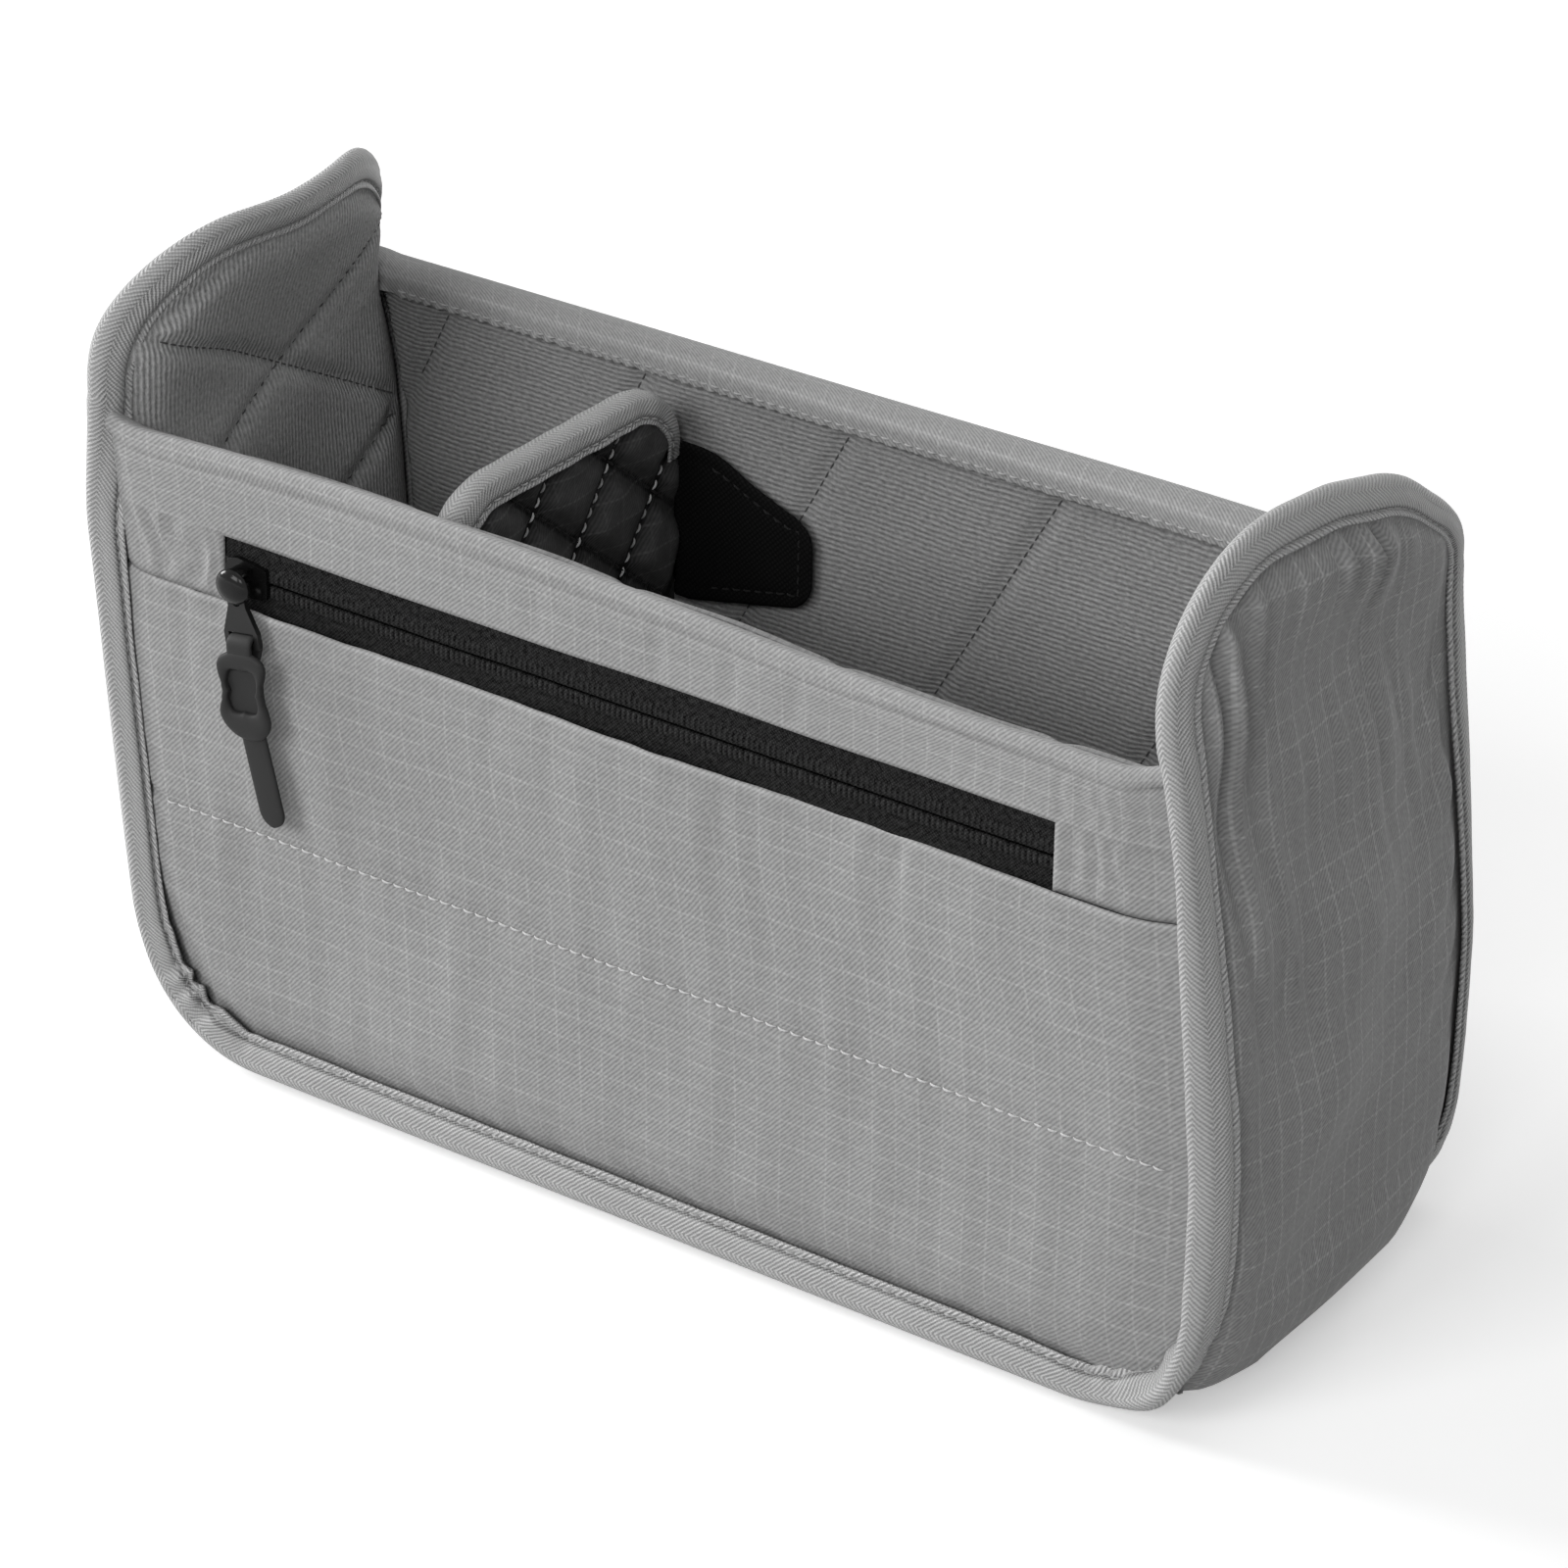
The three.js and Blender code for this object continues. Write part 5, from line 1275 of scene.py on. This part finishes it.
def flap(name, face, sign, seed, node, body):
    """A webbing flap with its border stitch and, on the side to the lining, its hooks."""
    bend = FLAP_SHOULDER + FLAP_CORNER * np.sin(np.linspace(0, math.pi / 2, 14))
    x = np.concatenate([spread(FLAP_SEWN, FLAP_SHOULDER, 0.9)[:-1], bend])
    xx, share = cells(x, np.linspace(0, 1, 44))
    low, high = flap_span(xx)
    zz = low + share * (high - low)
    edge = np.minimum(np.minimum(zz - low, high - zz), FLAP_TIP - xx)
    groove = 0.22 * bell(edge - 3.4, 0.5) + 0.5 * within(1 - edge / 0.9) ** 2
    yy = face + sign * (groove + 0.10 * ripple(xx, zz, seed, 16))
    piece = grid(name, join(xx, yy, zz), join(xx, zz), WEBBING, body=None, out=(0, -sign, 0))
    dress(piece, [node], FLAP_CLOTH)
    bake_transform(piece)

    tip = FLAP_TIP - STITCH_INSET
    out = np.linspace(FLAP_ROOT + 3, tip, 40)
    line = np.concatenate([out, np.full(20, tip), out[::-1]])
    share = np.concatenate([np.zeros(40), np.linspace(0, 1, 20), np.ones(40)])
    path = join(line, face + sign * 0.2, inset_height(line, share, STITCH_INSET))
    stitches(name + "_stitch", [(path, (0.0, -sign, 0.0))], DARK_THREAD, FLAP_STITCH, body)

    xx, share = cells(spread(FLAP_ROOT + 3.1, FLAP_TIP - 3.1, 0.85), np.linspace(0, 1, 34))
    zz = inset_height(xx, share, HOOK_INSET)
    tuft = np.where((np.indices(xx.shape).sum(0) % 2) == 0, 0.55, 0.0)
    points = join(xx, face + sign * (1.5 + tuft), zz)
    hooks = grid(name + "_hooks", points, join(xx, zz), HOOK, body=body, out=(0, sign, 0))
    dress(hooks, [node + "_hook"], HOOK_CLOTH)


flap("back_flap_web", BACK_FLAP_Y, 1.0, 92, "flap_back", "back_flap")
flap("front_flap_web", FRONT_FLAP_Y, -1.0, 91, "flap_front", "front_flap")


# Slider, link and pull

PULL_LEAN = math.radians(9.0)
PULL_BAR = np.array([-93.466, -53.95, 107.06])
PULL_DOWN = np.array([math.sin(PULL_LEAN), 0.0, -math.cos(PULL_LEAN)])
PULL_ACROSS = np.array([math.cos(PULL_LEAN), 0.0, math.sin(PULL_LEAN)])
HEAD_BEND, TAIL_BEND, BEND_START = -0.085, 0.185, 15.0
STRAP_HALF, STRAP_THICK = 3.2, 1.2
STRAP_SIDES = 20
BAR_WRAP = 1.8
TUCK_SPREAD = 1.4
TAIL_ROUND, TAIL_TIP = 37.4, 40.8
HEAD_MIDDLE = 10.3
HEAD_SCALE = 1.12
HEAD_OUTLINE = (
    (0.9, 0.0), (1.0, 2.2), (1.6, 3.6), (2.6, 5.2), (3.8, 5.75), (5.2, 5.5), (7.2, 4.8), (9.2, 4.65),
    (11.2, 5.0), (13.0, 5.7), (14.6, 5.9), (16.2, 5.3), (17.6, 4.0), (18.5, 2.4), (18.8, 0.0),
)
WINDOW_OUTLINE = (
    (4.9, 0.0), (4.9, 2.75), (5.3, 3.15), (9.2, 3.15), (12.8, 3.15), (13.2, 2.75), (13.2, 0.0),
)
# The head's section: share of the way from the window to the rim, and depth there.
HEAD_SHARE = np.array([0.0, 0.05, 0.14, 0.3, 0.5, 0.7, 0.86, 0.95, 1.0, 1.0, 0.95, 0.5, 0.05, 0.0])
HEAD_DEPTH = np.array(
    [-1.6, -2.15, -2.45, -2.58, -2.62, -2.58, -2.45, -2.15, -1.8, -1.45, -1.2, -1.2, -1.2, -1.35])
HOOD_CENTRE = (-95.5, 119.9)
HOOD_HALF = (4.3, 3.9)
HOOD_BACK = -54.7
HOOD_RISE = 1.75


def eased(name, node, body, skin, width):
    """A hard piece with its edges eased, as cast metal has them."""
    work = bmesh.new()
    work.from_mesh(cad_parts[node].data)
    bmesh.ops.remove_doubles(work, verts=work.verts, dist=0.00001)
    mesh = bpy.data.meshes.new(name)
    work.to_mesh(mesh)
    work.free()
    mesh.materials.append(skin)
    piece = bpy.data.objects.new(name, mesh)
    SCENE.collection.objects.link(piece)
    edge = piece.modifiers.new("Eased", "BEVEL")
    edge.width = width * MM
    edge.segments = 3
    edge.limit_method = "ANGLE"
    edge.angle_limit = math.radians(35)
    edge.harden_normals = True
    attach(piece, body)
    dress(piece, [node])


def pull_place(along, aside, depth):
    """A point of the pull from its own frame: down the strap, across it, and away from the viewer."""
    aside = aside + HEAD_BEND * along + TAIL_BEND * np.maximum(along - BEND_START, 0)
    flat = along[..., None] * PULL_DOWN + aside[..., None] * PULL_ACROSS
    return PULL_BAR + flat + depth[..., None] * np.array([0.0, 1.0, 0.0])


def polar(outline, angle):
    """Radius of an outline, mirrored about the strap's middle, seen from the head's middle."""
    line = np.array(outline) * HEAD_SCALE - (HEAD_MIDDLE, 0.0)
    a = np.arctan2(line[:, 1], line[:, 0])
    order = np.argsort(a)
    return np.interp(np.abs(angle), a[order], np.hypot(line[:, 1], line[:, 0])[order])


def pull_head():
    """The framed head: a ring round the window through which the strap is tucked."""
    angle = np.linspace(-math.pi, math.pi, 144, endpoint=False)
    inner, outer = polar(WINDOW_OUTLINE, angle), polar(HEAD_OUTLINE, angle)
    outer = (np.roll(outer, 1) + 2 * outer + np.roll(outer, -1)) / 4
    radius = inner[:, None] + (outer - inner)[:, None] * HEAD_SHARE
    along = HEAD_MIDDLE + radius * np.cos(angle)[:, None]
    aside = radius * np.sin(angle)[:, None]
    points = pull_place(along, aside, np.repeat(HEAD_DEPTH[None], len(angle), 0))
    piece = grid("pull_head", points, None, RUBBER, body="pull", wrap=True, across=True, out=(0, -1, 0))


def pull_strap():
    """The strap: from the head over the link's bar, down through the window and out as the tail."""
    a = np.linspace(-math.pi / 2, math.pi / 2, 20)
    front = join(np.linspace(4.6, 0.3, 8), -BAR_WRAP)
    over = join(-BAR_WRAP * np.cos(a), BAR_WRAP * np.sin(a))
    down = np.linspace(0.6, 7.2, 14)
    behind = join(down, BAR_WRAP - 2.4 * smooth(0.4, 7.2, down))
    tip = TAIL_ROUND + (TAIL_TIP - TAIL_ROUND) * np.sin(np.linspace(0.12, 1.0, 12) * math.pi / 2)
    tail = join(np.concatenate([np.linspace(7.8, TAIL_ROUND, 40), tip]), -0.6)
    path = np.vstack([front, over, behind, tail])
    step = unit(np.gradient(path, axis=0))
    normal = join(-step[:, 1], step[:, 0])
    x = path[:, 0]
    narrow = np.sqrt(np.clip(1 - ((x - TAIL_ROUND) / (TAIL_TIP - TAIL_ROUND)) ** 2, 0.0004, 1))
    tucked = smooth(4.0, 6.2, x) * (1 - smooth(15.5, 19.0, x)) * (path[:, 1] > -1.5)
    half = (STRAP_HALF + TUCK_SPREAD * tucked) * np.where(x > TAIL_ROUND, narrow, 1.0)
    ring = np.linspace(0, 2 * math.pi, STRAP_SIDES, endpoint=False)
    wide, thick = np.cos(ring), np.sin(ring)
    wide = np.sign(wide) * np.abs(wide) ** 0.35
    thick = np.sign(thick) * np.abs(thick) ** 0.55 * STRAP_THICK / 2
    along, depth = (path[:, c, None] + normal[:, c, None] * thick for c in (0, 1))
    points = pull_place(along, half[:, None] * wide, depth)
    dress(grid("pull_strap", points, None, RUBBER, body="pull", across=True), ["pull_tab"])


def slider_hood():
    """The glossy cap of the slider's bridge."""
    r = np.maximum(np.sin(np.linspace(0, math.pi / 2, 14)), 0.02)
    rr, aa = cells(r, np.linspace(0, 2 * math.pi, 40, endpoint=False))
    rise = HOOD_RISE * np.maximum(1 - rr**2.4, 0) ** 0.55
    x = HOOD_CENTRE[0] + HOOD_HALF[0] * rr * np.cos(aa)
    z = HOOD_CENTRE[1] + HOOD_HALF[1] * rr * np.sin(aa)
    under = join(x[::-1], HOOD_BACK + 0.02, z[::-1])
    points = np.concatenate([join(x, HOOD_BACK - rise, z), under[1:]])
    piece = grid("slider_hood", points, None, SLIDER_PAINT, body="slider", across=True, out=(0, -1, 0))


eased("slider_body", "zip_slider", "slider", SLIDER_PAINT, 0.22)
eased("link_plate", "pull_link", "link", LINK_PAINT, 0.25)
pull_head()
pull_strap()
slider_hood()


# View settings

SCENE.view_settings.view_transform = "Standard"
bpy.context.view_layer.update()
